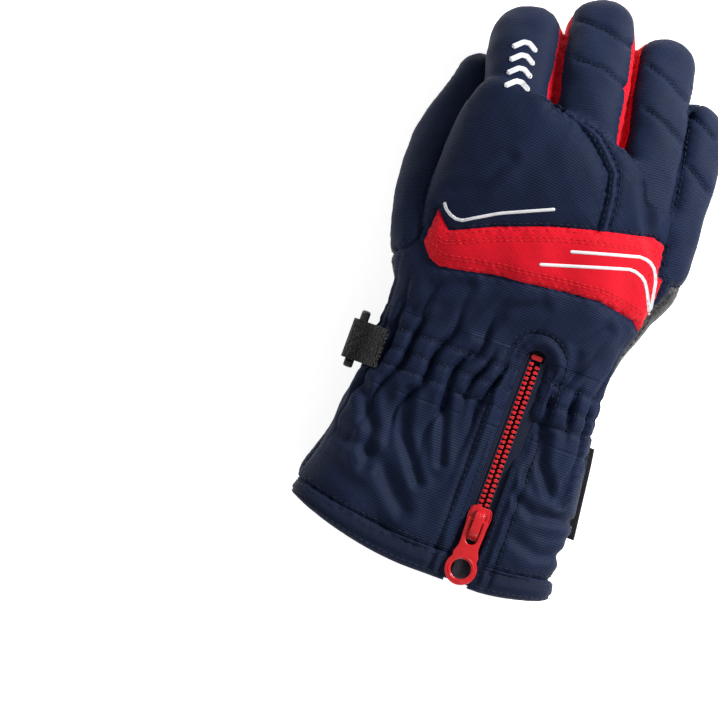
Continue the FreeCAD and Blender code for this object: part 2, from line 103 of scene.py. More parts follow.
# Root centre, lean towards the thumb, first and last pitch in degrees, length of the centre line, half width,
# half height, roll towards the little finger in degrees.
FINGERS = {
    "index": ((-23.4, 84.0, 37.0), 9.0, -4.0, -50.0, 58.0, 13.4, 12.4, -6.0),
    "middle": ((4.6, 86.0, 37.5), 9.5, -4.0, -51.0, 70.0, 13.5, 12.6, 0.0),
    "ring": ((31.6, 80.0, 32.5), 9.5, -3.0, -46.0, 69.0, 12.3, 12.2, 16.0),
    "little": ((47.0, 57.0, 22.2), 3.0, 6.0, -34.0, 69.0, 10.8, 11.2, 38.0),
}
FINGER_ROUNDNESS = 0.82
BACK_SEAM_UP = 5.2       # the fourchettes run between these heights about a finger's centre line
PAD_SEAM_UP = -7.6
THUMB_PATH = [
    ((-26.0, 16.0, 24.0), 16.5),
    ((-37.0, 38.0, 23.5), 16.0),
    ((-44.5, 60.0, 20.5), 14.6),
    ((-46.0, 82.0, 14.6), 12.0),
    ((-41.6, 104.0, 12.4), 10.6),
]
PATCH_Y = 80.0
THUMB_SEAM_FADE_Y = 40.0   # below this the thumb's seams run out into the hand
SIDE_SEAM = np.array([(-120, 20), (-20, 21), (0, 22.5), (18, 24), (42, 28), (66, 30), (84, 31), (140, 31)])

# Lines on the back of the hand, seen from above.
BAND_OUTLINE = [
    (-40.6, 51), (-34, 44.5), (-16.3, 52.2), (1.9, 58.8), (20.9, 64.1), (42, 69.1), (46.6, 67.7),
    (49.2, 62.9), (50.4, 55), (50.1, 46.9), (49.3, 38.3), (49.3, 32.6), (45.6, 36.3), (30.1, 38.8),
    (10, 36.8), (-9.9, 34.7), (-32.4, 30.6), (-37, 32.2), (-41.5, 37.2),
]
BAND_TIP = (48.6, 33.5)    # to the right of this the seam below the band carries on round the side
WELT_LINE = [(-7, 122), (-7.7, 106), (7.2, 97.2), (18, 86.8), (20.3, 77), (21.7, 60)]
WELT_HALF = 1.9
PRINTED_LINES = [
    [(-39, 54.2), (-36.6, 51), (-31.4, 49.2), (-18, 57.1), (1.6, 65.8)],
    [(12.6, 52.7), (39.8, 60.5), (44.6, 59.2), (47.7, 54.6), (50, 42.7)],
    [(3.2, 44.1), (37.8, 54.7), (43.2, 53), (46.1, 48.7), (50.2, 40.9)],
]
PRINT_HALF = 0.65
CORNER_CUT = 1.4
QUILT_LINES = [
    [(-13.2, 138.6), (-4.1, 138.3), (7.6, 135.5)],
    [(-9.2, 122.9), (1.5, 123), (11.7, 119.5)],
    [(17.9, 130.8), (26.1, 128.6), (35, 124.1)],
    [(21.9, 114.1), (30.5, 111.4), (38.3, 107.3)],
    [(37.8, 119.9), (49.8, 113.9)],
    [(45.3, 99.3), (54.4, 93.5)],
]
# Folds: the line, then half width and depth.
CUFF_FOLDS = [
    ([(-44, -22), (-36, -36), (-33, -52)], 2.4, 1.7),
    ([(-27, -18), (-24, -34), (-12, -50)], 2.0, 1.5),
    ([(-47, -42), (-30, -47), (-14, -62)], 3.0, 1.5),
    ([(-13, -16), (-9, -31), (-6, -40)], 1.8, 1.4),
    ([(28, -17), (30, -27), (38, -38)], 1.9, 1.5),
    ([(24, -42), (34, -47), (47, -45)], 2.2, 1.4),
    ([(44, -20), (41, -31), (42, -40)], 1.7, 1.3),
    ([(30, -58), (40, -62), (49, -60)], 2.3, 1.0),
    ([(-36, 12), (-32, 22), (-20, 28)], 2.6, 1.2),
    ([(-8, 12), (-3, 24), (10, 30)], 2.4, 0.9),
    ([(30, 10), (28, 20), (36, 30)], 2.2, 1.0),
    ([(-37, 60), (-27, 66), (-21, 78)], 2.4, 0.7),
    ([(44, 62), (36, 74), (31, 86)], 2.2, 0.8),
]
PALM_CREASES = [
    ([(-30, 60), (-12, 48), (2, 30), (6, 14)], 1.6, 1.3),
    ([(-26, 66), (4, 56), (40, 60)], 1.5, 1.2),
    ([(-8, 70), (22, 68), (46, 72)], 1.3, 0.9),
    ([(30, 16), (34, 34), (30, 52)], 1.6, 0.8),
]
MOTIF_FIRST = (-28.0, 108.0)
MOTIF_STEP = (-0.75, 5.2)
MOTIF_COUNT = 4
SLOT_HALF = 4.9
SLOT_TOP_Y = 13.0
SLOT_MARGIN = 2.2          # the inside layers stop this far outside the slot
PLACKET_ROWS = (5.9, 7.7)
PULL_CLEAR_Z = 39.75       # the cloth beside the zip stays below this, so that the pull slides over it
PULL_REACH = 2.8
PULL_TOP_Y = 8.0
VOXEL = 0.85
SHELL_T = 1.1
NAVY = (0.0070, 0.0132, 0.0395)
RED = (0.86, 0.004, 0.018)


def to_row(points):
    return (np.asarray(points, float) + SHIFT) / 1000.0


# ---- meshes --------------------------------------------------------------------------------------
def make_object(name, verts, faces, body, slot=None, smooth=True):
    """A mesh object from wrist-frame points, riding on a body."""
    mesh = bpy.data.meshes.new(name)
    mesh.from_pydata(to_row(verts).tolist(), [], [list(map(int, f)) for f in faces])
    mesh.validate()
    mesh.update()
    obj = bpy.data.objects.new(name, mesh)
    bpy.context.collection.objects.link(obj)
    if smooth:
        mesh.polygons.foreach_set("use_smooth", [True] * len(mesh.polygons))
    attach(obj, body)
    return obj


def apply_modifiers(obj):
    bpy.context.view_layer.update()
    depsgraph = bpy.context.evaluated_depsgraph_get()
    mesh = bpy.data.meshes.new_from_object(obj.evaluated_get(depsgraph))
    obj.modifiers.clear()
    old = obj.data
    obj.data = mesh
    bpy.data.meshes.remove(old)


def interpolate(rows, at):
    """Smooth curve through the rows of a table, the first column being the place along it."""
    x = rows[:, 0]
    k = np.clip(np.searchsorted(x, at) - 1, 0, len(x) - 2)
    h = (x[k + 1] - x[k])[:, None]
    u = ((at - x[k]) / h[:, 0])[:, None]
    slope = np.gradient(rows, x, axis=0)
    a, b = rows[k], rows[k + 1]
    ma, mb = slope[k] * h, slope[k + 1] * h
    u = np.clip(u, -0.3, 1.0)
    start = (2 * u**3 - 3 * u**2 + 1) * a + (u**3 - 2 * u**2 + u) * ma
    return start + (3 * u**2 - 2 * u**3) * b + (u**3 - u**2) * mb


def superellipse(half_a, half_b, roundness, count):
    turn = 2 * np.pi * np.arange(count) / count
    c, s = np.cos(turn), np.sin(turn)
    return half_a * np.sign(c) * np.abs(c) ** roundness, half_b * np.sign(s) * np.abs(s) ** roundness


def loft(rings):
    """Points and faces of a closed tube through rings of the same count."""
    count = len(rings[0])
    verts = np.concatenate(rings)
    faces = [list(range(count))[::-1], list(range(len(verts) - count, len(verts)))]
    for r in range(len(rings) - 1):
        for i in range(count):
            j = (i + 1) % count
            faces.append([r * count + i, r * count + j, (r + 1) * count + j, (r + 1) * count + i])
    return verts, faces


def station(y):
    """The hand's table at one place along it."""
    return interpolate(HAND_STATIONS, np.array([y]))[0]


def hand_rings(inset):
    rings = []
    for y in np.linspace(HEM_Y - 5, HAND_END_Y - inset, 90):
        _, mid_x, mid_z, half_a, half_b, roundness, lean, droop, back = station(y)
        across, up = superellipse(half_a - inset, half_b - inset, roundness, 96)
        up = up - droop * np.maximum(0, mid_x + across - DROOP_FROM_X) ** 2
        lean = math.radians(lean)
        x = mid_x + across
        rings.append(np.stack([x, y + up * math.sin(lean) - back * across, mid_z + up * math.cos(lean)], 1))
    return rings


def finger_frames(name, steps=48):
    """Centres, forward, sideways and upward directions along a finger, and the half sizes."""
    root, lean, pitch0, pitch1, length, half_a, half_b, roll = FINGERS[name]
    lean, pitch0, pitch1, roll = (math.radians(v) for v in (lean, pitch0, pitch1, roll))
    side0 = np.array([math.cos(lean), math.sin(lean), 0])
    ahead = np.array([-math.sin(lean), math.cos(lean), 0])
    up0 = np.array([0, 0, 1.0])
    s = np.linspace(0, length - half_a, steps)
    bend = (pitch1 - pitch0) / length
    pitch = (pitch0 + bend * s)[:, None]
    centre = np.array(root) + ahead * (np.sin(pitch) - math.sin(pitch0)) / bend + up0 * (
        math.cos(pitch0) - np.cos(pitch)) / bend
    forward = ahead * np.cos(pitch) + up0 * np.sin(pitch)
    up = np.cross(side0, forward)
    side = side0 * math.cos(roll) - up * math.sin(roll)
    up = side0 * math.sin(roll) + up * math.cos(roll)
    return s, centre, forward, side, up, np.full(steps, half_a), np.full(steps, half_b)


def thumb_frames(steps=48):
    path = np.array([p for p, r in THUMB_PATH])
    rows = np.column_stack([np.linspace(0, 1, len(path)), path, [r for p, r in THUMB_PATH]])
    table = interpolate(rows, np.linspace(0, 1, steps))
    centre, radius = table[:, 1:4], table[:, 4]
    forward = np.gradient(centre, axis=0)
    forward /= np.linalg.norm(forward, axis=1)[:, None]
    side = np.cross(forward, [0, 0, 1.0])
    side /= np.linalg.norm(side, axis=1)[:, None]
    s = np.concatenate([[0], np.cumsum(np.linalg.norm(np.diff(centre, axis=0), axis=1))])
    return s, centre, forward, side, np.cross(side, forward), radius, radius


# Rings behind a finger's root: how far along, and their share of the root's size.
ROOT_TAPER = ((-18, 0.35), (-14, 0.6), (-10, 0.78), (-6, 0.9), (-3, 0.97))
DIGITS = ["index", "middle", "ring", "little", "thumb"]
FRAMES = {name: finger_frames(name) for name in FINGERS}
FRAMES["thumb"] = thumb_frames()


def digit_rings(name, inset):
    s, centre, forward, side, up, half_a, half_b = FRAMES[name]
    rings = []

    def ring(k, share, along):
        a, b = superellipse((half_a[k] - inset) * share, (half_b[k] - inset) * share, FINGER_ROUNDNESS, 48)
        rings.append(centre[k] + forward[k] * along + side[k] * a[:, None] + up[k] * b[:, None])
    for along, share in ROOT_TAPER:
        ring(0, share, along)
    for k in range(len(s)):
        ring(k, 1.0, 0.0)
    for step in range(1, 12):
        turn = step / 12 * math.pi / 2
        ring(-1, max(0.05, math.cos(turn) ** 0.85), math.sin(turn) * (half_a[-1] - inset))
    return rings


def blob(inset, voxel, smoothing):
    """Triangles of the whole glove's outside at an inset, as one smooth closed surface."""
    verts, faces = [], []
    for rings in [hand_rings(inset)] + [digit_rings(name, inset) for name in DIGITS]:
        v, f = loft(rings)
        base = sum(len(x) for x in verts)
        verts.append(v)
        faces += [[i + base for i in face] for face in f]
    mesh = bpy.data.meshes.new("blob")
    mesh.from_pydata(np.concatenate(verts).tolist(), [], faces)
    obj = bpy.data.objects.new("blob", mesh)
    bpy.context.collection.objects.link(obj)
    remesh = obj.modifiers.new("remesh", "REMESH")
    remesh.mode = "VOXEL"
    remesh.voxel_size = voxel
    soften = obj.modifiers.new("soften", "SMOOTH")
    soften.factor = 0.5
    soften.iterations = smoothing
    apply_modifiers(obj)
    mesh = obj.data
    mesh.calc_loop_triangles()
    points = np.empty(len(mesh.vertices) * 3)
    mesh.vertices.foreach_get("co", points)
    tris = np.empty(len(mesh.loop_triangles) * 3, np.int32)
    mesh.loop_triangles.foreach_get("vertices", tris)
    bpy.data.objects.remove(obj)
    return points.reshape(-1, 3), tris.reshape(-1, 3).astype(np.int64)


def vertex_normals(verts, tris):
    a, b, c = (verts[tris[:, k]] for k in range(3))
    face = np.cross(b - a, c - a)
    normal = np.zeros_like(verts)
    for k in range(3):
        np.add.at(normal, tris[:, k], face)
    return normal / np.maximum(np.linalg.norm(normal, axis=1), 1e-12)[:, None]


# ---- where a point of the skin is ----------------------------------------------------------------
def hand_place(p):
    """Station, across, up and rough distance outside the hand's tube."""
    y0 = p[:, 1].copy()
    for _ in range(6):
        row = interpolate(HAND_STATIONS, np.clip(y0, HEM_Y - 6, HAND_END_Y))
        lean = np.radians(row[:, 6])
        across = p[:, 0] - row[:, 1]
        up = (p[:, 2] - row[:, 2]) / np.cos(lean)
        y0 = p[:, 1] - up * np.sin(lean) + row[:, 8] * across
    up = up + row[:, 7] * np.maximum(0, p[:, 0] - DROOP_FROM_X) ** 2
    power = 2 / row[:, 5]
    rho = (np.abs(across / row[:, 3]) ** power + np.abs(up / row[:, 4]) ** power) ** (1 / power)
    distance = np.maximum((rho - 1) * row[:, 4], y0 - HAND_END_Y)
    angle = np.arctan2(up / row[:, 4], across / row[:, 3])
    return np.stack([y0, across, up, distance, angle], 1)


def digit_place(p, name):
    """Along, across, up and rough distance outside a digit's tube."""
    s, centre, forward, side, up, half_a, half_b = FRAMES[name]
    out = np.empty((len(p), 4))
    for start in range(0, len(p), 20000):
        q = p[start:start + 20000]
        near = ((q[:, None, :] - centre[None]) ** 2).sum(2).argmin(1)
        d = q - centre[near]
        along = (d * forward[near]).sum(1)
        a = (d * side[near]).sum(1)
        b = (d * up[near]).sum(1)
        power = 2 / FINGER_ROUNDNESS
        rho = (np.abs(a / half_a[near]) ** power + np.abs(b / half_b[near]) ** power) ** (1 / power)
        past = np.where(near == len(s) - 1, np.maximum(along, 0), 0) / half_a[near]
        before = np.where(near == 0, np.maximum(-along, 0), 0)
        if name == "thumb":
            before = before + 0.16 * np.maximum(0, THUMB_SEAM_FADE_Y - q[:, 1])
        rho = np.sqrt(rho**2 + past**2)
        out[start:start + 20000] = np.stack([s[near] + along, a, b, (rho - 1) * half_a[near] + before], 1)
    return out


COLUMNS = ["y0", "across", "up", "hand", "angle"]
for digit in DIGITS:
    COLUMNS += [digit + "_s", digit + "_a", digit + "_b", digit + "_d"]


class Skin:
    """Triangles with, for each vertex, its place on the hand and on each digit."""

    def __init__(self, verts, tris):
        self.verts = verts
        self.tris = tris
        self.data = np.concatenate([hand_place(verts)] + [digit_place(verts, name) for name in DIGITS], 1)

    def column(self, name):
        return self.data[:, COLUMNS.index(name)]

    def cut(self, field, snap=0.08):
        """Split triangles where the field, one number per vertex, changes sign."""
        field = np.where(np.abs(field) < snap, 0.0, field)
        t = self.tris
        f = field[t]
        crossing = np.stack([f[:, k] * f[:, (k + 1) % 3] < 0 for k in range(3)], 1)
        pairs = np.stack([np.sort(t[:, [k, (k + 1) % 3]], 1) for k in range(3)], 1)
        edges, inverse = np.unique(pairs[crossing], axis=0, return_inverse=True)
        share = (field[edges[:, 0]] / (field[edges[:, 0]] - field[edges[:, 1]]))[:, None]
        index = np.full(crossing.shape, -1)
        index[crossing] = len(self.verts) + inverse.reshape(-1)
        for key in ("verts", "data"):
            old = getattr(self, key)
            new = old[edges[:, 0]] * (1 - share) + old[edges[:, 1]] * share
            setattr(self, key, np.concatenate([old, new]))
        total = crossing.sum(1)
        result = [t[total == 0]]
        for k in range(3):
            i, j, l = k, (k + 1) % 3, (k + 2) % 3
            two = (total == 2) & crossing[:, i] & crossing[:, l]
            v0, v1, v2, m, n = t[two, i], t[two, j], t[two, l], index[two, i], index[two, l]
            result += [np.stack([v0, m, n], 1), np.stack([m, v1, v2], 1), np.stack([m, v2, n], 1)]
            one = (total == 1) & crossing[:, i]
            v0, v1, v2, m = t[one, i], t[one, j], t[one, l], index[one, i]
            result += [np.stack([v0, m, v2], 1), np.stack([m, v1, v2], 1)]
        self.tris = np.concatenate(result)


def owner(data):
    """0 for the hand and the cuff, then 1 to 5 for the digits."""
    distance = [data[:, COLUMNS.index("hand")] + np.where(data[:, 0] > HAND_END_Y - 1.5, 30.0, 0.0)]
    distance += [data[:, COLUMNS.index(name + "_d")] for name in DIGITS]
    return np.argmin(np.stack(distance, 1), 1)


def own_value(data, own, key):
    """The value of a digit's column for the digit that owns each vertex."""
    table = np.stack([data[:, COLUMNS.index(name + key)] for name in DIGITS], 1)
    return table[np.arange(len(data)), np.clip(own - 1, 0, 4)]


def line_distance(points, line):
    """Distance in plan from points to a line of corners."""
    best = np.full(len(points), 1e9)
    for (x0, y0), (x1, y1) in zip(line, line[1:]):
        d = np.array([x1 - x0, y1 - y0])
        u = np.clip(((points[:, :2] - (x0, y0)) @ d) / (d @ d), 0, 1)
        best = np.minimum(best, np.hypot(points[:, 0] - x0 - u * d[0], points[:, 1] - y0 - u * d[1]))
    return best


def inside(points, outline):
    result = np.zeros(len(points), bool)
    x, y = points[:, 0], points[:, 1]
    for (x0, y0), (x1, y1) in zip(outline, outline[1:] + outline[:1]):
        if y0 != y1:
            result ^= ((y0 > y) != (y1 > y)) & (x < (x1 - x0) * (y - y0) / (y1 - y0) + x0)
    return result


def outline_field(points, outline):
    distance = line_distance(points, outline + outline[:1])
    return np.where(inside(points, outline), -distance, distance)


def side_field(verts, data):
    return verts[:, 2] - np.interp(data[:, 0], SIDE_SEAM[:, 0], SIDE_SEAM[:, 1])


def welt_side(points):
    """Positive on the little finger's side of the welt."""
    line = sorted([(y, x) for x, y in WELT_LINE])
    return points[:, 0] - np.interp(points[:, 1], [y for y, x in line], [x for y, x in line])


def slot_field(verts):
    end = np.maximum(verts[:, 1] - (SLOT_TOP_Y - SLOT_HALF), 0)
    field = np.hypot(verts[:, 0] - ZIP_X, end) - SLOT_HALF
    return np.where(verts[:, 2] > 30, field, 50.0)


PANELS = ["hem_binding", "cuff_thumb_side_panel", "cuff_little_side_panel", "cuff_palm_panel",
          "wrist_gaiter", "palm_panel", "wrist_back_panel", "accent_band", "welt_seam",
          "back_inner_panel", "back_outer_panel", "fourchette_index_middle", "fourchette_middle_ring",
          "fourchette_ring_little", "little_finger_pad", "thumb_back_panel", "thumb_palm_panel",
          "thumb_tip_patch"]
DROPPED = -1


def cut_panels(skin):
    """Cut the skin along every seam."""
    big = 50.0
    skin.cut(skin.verts[:, 1] - HEM_Y)
    skin.cut(skin.verts[:, 1] - BINDING_Y)
    skin.cut(skin.verts[:, 1] - GAITER_Y)
    own = owner(skin.data)
    skin.cut(np.where(own == 0, skin.verts[:, 1] - PALM_EDGE_Y, big))
    own = owner(skin.data)
    skin.cut(np.where((own == 0) & ((skin.verts[:, 1] > 9) | (skin.verts[:, 1] < -19)),
                      side_field(skin.verts, skin.data), big))
    skin.cut(slot_field(skin.verts))
    own = owner(skin.data)
    upper = (own == 0) & (side_field(skin.verts, skin.data) > -1) & (skin.verts[:, 1] > 5)
    skin.cut(np.where(upper, outline_field(skin.verts, BAND_OUTLINE), big))
    beside = (side_field(skin.verts, skin.data) > -2) & (skin.verts[:, 0] > BAND_TIP[0] - 1)
    upper = beside & (owner(skin.data) == 0)
    skin.cut(np.where(upper, skin.verts[:, 1] - BAND_TIP[1], big))
    own = owner(skin.data)
    upper = (side_field(skin.verts, skin.data) > 8) & (skin.verts[:, 1] > 55) & (own != 5)
    skin.cut(np.where(upper, line_distance(skin.verts, WELT_LINE) - WELT_HALF, big))
    hand, thumb = skin.column("hand"), skin.column("thumb_d")
    skin.cut(np.where(np.minimum(hand, thumb) < 2.5, thumb - hand, big))
    own = owner(skin.data)
    skin.cut(np.where(own == 5, skin.column("thumb_b"), big))
    own = owner(skin.data)
    skin.cut(np.where((own == 5) & (skin.column("thumb_b") < 0.5), skin.verts[:, 1] - PATCH_Y, big))
    for level in (BACK_SEAM_UP, PAD_SEAM_UP):
        own = owner(skin.data)
        up = own_value(skin.data, own, "_b")
        skin.cut(np.where((own > 0) & (own < 5), up - level, big))
    own = owner(skin.data)
    up = own_value(skin.data, own, "_b")
    side = own_value(skin.data, own, "_a")
    tip = (own > 0) & (own < 5) & (up < BACK_SEAM_UP + 1) & (up > PAD_SEAM_UP - 1)
    skin.cut(np.where(tip, side, big))


def panel_of(skin):
    """The panel of each triangle, by the seams around it."""
    verts = skin.verts[skin.tris].mean(1)
    data = skin.data[skin.tris].mean(1)
    own = owner(data)
    upper = side_field(verts, data) > 0
    y = verts[:, 1]
    result = np.full(len(verts), DROPPED)

    def put(mask, name):
        result[mask] = PANELS.index(name)
    hand = own == 0
    put(hand & ~upper, "palm_panel")
    put(hand & upper, "back_outer_panel")
    put(hand & upper & (welt_side(verts) < 0), "back_inner_panel")
    put(hand & upper & (line_distance(verts, WELT_LINE) < WELT_HALF), "welt_seam")
    below_band = y < np.interp(verts[:, 0], [-60, 0, BAND_TIP[0]], [41, 46, 50])
    below_band = np.where(verts[:, 0] > BAND_TIP[0], verts[:, 1] < BAND_TIP[1], below_band)
    put(hand & upper & below_band, "wrist_back_panel")
    put(hand & upper & inside(verts, BAND_OUTLINE), "accent_band")
    put(hand & (y < PALM_EDGE_Y), "wrist_gaiter")
    put(hand & (y < GAITER_Y) & ~upper, "cuff_palm_panel")
    put(hand & (y < GAITER_Y) & upper & (verts[:, 0] < ZIP_X), "cuff_thumb_side_panel")
    put(hand & (y < GAITER_Y) & upper & (verts[:, 0] > ZIP_X), "cuff_little_side_panel")
    put(hand & (y < BINDING_Y), "hem_binding")
    up = own_value(data, own, "_b")
    thumb_side = own_value(data, own, "_a") < 0
    top, pad = up > BACK_SEAM_UP, up < PAD_SEAM_UP
    between = {1: ("back_inner_panel", "fourchette_index_middle"),
               2: ("fourchette_index_middle", "fourchette_middle_ring"),
               3: ("fourchette_middle_ring", "fourchette_ring_little"),
               4: ("fourchette_ring_little", "back_outer_panel")}
    for number, (left, right) in between.items():
        put((own == number) & thumb_side, left)
        put((own == number) & ~thumb_side, right)
        put((own == number) & top, "back_inner_panel" if number == 1 else "back_outer_panel")
        put((own == number) & pad, "little_finger_pad" if number == 4 else "palm_panel")
    put((own == 5) & (up > 0), "thumb_back_panel")
    put((own == 5) & (up <= 0), "thumb_palm_panel")
    put((own == 5) & (up <= 0) & (y > PATCH_Y), "thumb_tip_patch")
    result[slot_field(verts) < 0] = DROPPED
    result[y < HEM_Y] = DROPPED
    return result


# ---- fields over the skin ------------------------------------------------------------------------
def waves(p, size, seed, count=9):
    """A smooth irregular field of about unit height whose bumps are about this size in mm."""
    random = np.random.default_rng(seed)
    total = np.zeros(len(p))
    for _ in range(count):
        direction = random.normal(size=3)
        direction *= 2 * np.pi / size * random.uniform(0.6, 1.5) / np.linalg.norm(direction)
        total += np.sin(p @ direction + random.uniform(0, 2 * np.pi))
    return total / math.sqrt(count / 2)


def hill(x, width):
    return np.exp(-(x / width) ** 2)


# These run into the gaiter's gathers without a sunk seam.
BESIDE_GAITER = ("cuff_thumb_side_panel", "cuff_little_side_panel", "cuff_palm_panel", "wrist_back_panel")


def panel_edges(skin, panels):
    """Edges between two panels that are sewn together, or at the border of a hole."""
    gathered = [PANELS.index(name) for name in BESIDE_GAITER]
    t = skin.tris
    pairs = np.concatenate([np.sort(t[:, [k, (k + 1) % 3]], 1) for k in range(3)])
    owners = np.concatenate([panels] * 3)
    edges, inverse = np.unique(pairs, axis=0, return_inverse=True)
    inverse = inverse.reshape(-1)
    border = np.bincount(inverse) == 1
    low = np.full(len(edges), 99)
    high = np.full(len(edges), -9)
    np.minimum.at(low, inverse, owners)
    np.maximum.at(high, inverse, owners)
    gaiter = PANELS.index("wrist_gaiter")
    plain = np.isin(low, gathered) & (high == gaiter) | np.isin(high, gathered) & (low == gaiter)
    return edges[((low != high) & ~plain) | border]


def seam_distance(skin, panels, reach=14.0):
    """Distance from each vertex to the nearest seam, up to reach."""
    edges = panel_edges(skin, panels)
    points = np.concatenate([skin.verts[edges[:, 0]], skin.verts[edges].mean(1)])
    result = np.full(len(skin.verts), reach)
    cells = {}
    size = reach / 4
    for i, key in enumerate(map(tuple, np.floor(points / size).astype(int))):
        cells.setdefault(key, []).append(i)
    keys = np.floor(skin.verts / size).astype(int)
    order = np.lexsort(keys.T)
    starts = np.flatnonzero(np.any(np.diff(keys[order], axis=0, prepend=keys[order][:1] - 1), axis=1))
    steps = [(i, j, k) for i in range(-2, 3) for j in range(-2, 3) for k in range(-2, 3)]
    for a, b in zip(starts, np.append(starts[1:], len(order))):
        members = order[a:b]
        x, y, z = keys[members[0]]
        near = [i for dx, dy, dz in steps for i in cells.get((x + dx, y + dy, z + dz), [])]
        if near:
            gap = ((skin.verts[members][:, None] - points[near][None]) ** 2).sum(2).min(1)
            result[members] = np.minimum(result[members], np.sqrt(gap))
    return np.minimum(result, size * 2)


def gather_wrist(out, p, data, hand):
    """Gathers over the wrist elastic: sharp valleys between round pleats, fewer and wider away from it."""
    y, angle = data[:, 0], data[:, 4]
    free = np.where(hand, 1 - hill(np.maximum(slot_field(p), 0), 3.5), 0)
    near = free * hill(y - ELASTIC_Y, 13.0)
    turn = angle + 0.022 * waves(p, 30, 21)
    fine = 1 - np.abs(np.sin(turn * 17 + 0.9 * np.sin(turn * 4 + 1)))
    coarse = 1 - np.abs(np.sin(turn * 9.5 + 0.035 * (y - ELASTIC_Y) + 1.3 * np.sin(turn * 3)))
    mix = hill(y - ELASTIC_Y, 10.0)
    pleats = -(fine**2.2 * mix + coarse**2.4 * (1 - mix))
    out += near * (6.0 * pleats + 2.0)
    wide = free * hill(y - ELASTIC_Y + 6, 24.0) * (1 - mix)
    out -= wide * 2.8 * coarse**3
    for row in ELASTIC_ROWS:
        out -= np.where(hand, 0.8 * hill(y - ELASTIC_Y - row, 1.3), 0)


def fold_cloth(out, p, data, own, upper):
    """Broad soft swells, folds running down the cuff from the gathers, and creases across the palm."""
    hand = own == 0
    y = data[:, 0]
    up = own_value(data, own, "_b")
    cuff = np.where(hand & (y < GAITER_Y + 8) & (y > BINDING_Y - 1), 1.0, 0.0)
    out += cuff * (0.9 * waves(p, 38, 32) + 0.35 * waves(p, 17, 34))
    for line, width, depth in CUFF_FOLDS:
        gap = line_distance(p, line)
        fold = hill(gap, width) - 0.55 * hill(gap - 1.9 * width, width)
        out -= np.where(hand & upper, depth * fold, 0)
    swell = np.where(hand & (y > PALM_EDGE_Y) | (own > 0), 1.0, 0.0)
    out += swell * (0.32 * waves(p, 32, 41) + 0.10 * waves(p, 13, 42))
    palm = np.where(hand & ~upper & (y > PALM_EDGE_Y), 1.0, 0.0)
    for line, width, depth in PALM_CREASES:
        out -= palm * depth * hill(line_distance(p, line), width)
    digit = np.where(own > 0, 1.0, 0.0)
    along = own_value(data, own, "_s")
    out -= digit * (up < -2) * 0.45 * hill(np.sin(along * 2 * np.pi / 11 + 0.5 * waves(p, 20, 53)), 0.25)


def wrinkles(skin, seam):
    """How far each vertex moves out along its normal, in mm."""
    p, data = skin.verts, skin.data
    own = owner(data)
    y = data[:, 0]
    hand = own == 0
    upper = side_field(p, data) > 0
    puff = 0.9 * (1 - hill(seam, 4.5)) - 0.95 * hill(seam, 1.25)
    pucker = waves(p, 3.6, 11) * 0.20 * np.exp(-seam / 2.6)
    out = puff + pucker
    gather_wrist(out, p, data, hand)
    fold_cloth(out, p, data, own, upper)

    # Quilting seams across the backs of the fingers.
    on_back = (own > 1) & (own < 5) & (own_value(data, own, "_b") > BACK_SEAM_UP - 1)
    for line in QUILT_LINES:
        gap = line_distance(p, line)
        out += np.where(on_back, 0.35 * hill(gap, 7.0) * (1 - hill(gap, 2.5)) - 0.95 * hill(gap, 1.0), 0)

    # The welt stands proud, the band and the hem binding a little, and the zip's edges roll down.
    slot = slot_field(p)
    welt = line_distance(p, WELT_LINE)
    out += np.where(hand & upper & (y > 60), 1.5 * hill(welt, 1.5), 0)
    out += np.where(hand & upper & inside(p, BAND_OUTLINE), 0.35, 0)
    out += np.where(hand & (y < BINDING_Y), 0.55, 0)
    out += np.where(y < 20, 0.9 * hill(slot - 3.6, 2.0) - 1.2 * hill(slot - 6.8, 1.0), 0)
    out *= np.where(hand & (y < HEM_Y + 4), 0.6, 1.0)
    deepest = -2.1 - 1.9 * np.where(hand, hill(y - ELASTIC_Y, 22.0), 0)
    return np.clip(out, deepest, 2.6)


def cloth_place(skin):
    """Across and along coordinates for the weave, in mm, kept continuous over the roots of the fingers."""
    data = skin.data
    own = owner(data)
    across, along = data[:, 1] + 0.7 * data[:, 2], data[:, 0]
    result = np.stack([np.where(side_field(skin.verts, data) > 0, across, data[:, 1]), along], 1)
    for number, name in enumerate(DIGITS, 1):
        mask = own == number
        s, a, b = (skin.column(name + key)[mask] for key in ("_s", "_a", "_b"))
        root = FINGERS[name][0] if name in FINGERS else THUMB_PATH[0][0]
        result[mask] = np.stack([root[0] + 12 * np.arctan2(a, np.abs(b)), root[1] + s], 1)
    return result


# ---- panels --------------------------------------------------------------------------------------
def thicken(outer, inner, tris):
    """Closed piece between an outer and an inner copy of the same triangles, and which vertices it uses."""
    used, local = np.unique(tris, return_inverse=True)
    local = local.reshape(-1, 3)
    count = len(used)
    edges = np.concatenate([local[:, [k, (k + 1) % 3]] for k in range(3)])
    key = np.sort(edges, 1)
    _, index, times = np.unique(key, axis=0, return_index=True, return_counts=True)
    rim = edges[index[times == 1]]
    verts = np.concatenate([outer[used], inner[used]])
    faces = local.tolist() + (local[:, ::-1] + count).tolist()
    faces += [[j, i, i + count, j + count] for i, j in rim.tolist()]
    return verts, faces, used


def set_cloth(obj, place):
    attribute = obj.data.attributes.new("cloth", "FLOAT_VECTOR", "POINT")
    attribute.data.foreach_set("vector", np.asarray(place, np.float32).ravel())


def panel_object(name, outer, inner, tris, place, slot):
    verts, faces, used = thicken(outer, inner, tris)
    obj = make_object(name, verts, faces, "glove", slot)
    set_cloth(obj, np.concatenate([place[used], place[used]]))
    return obj


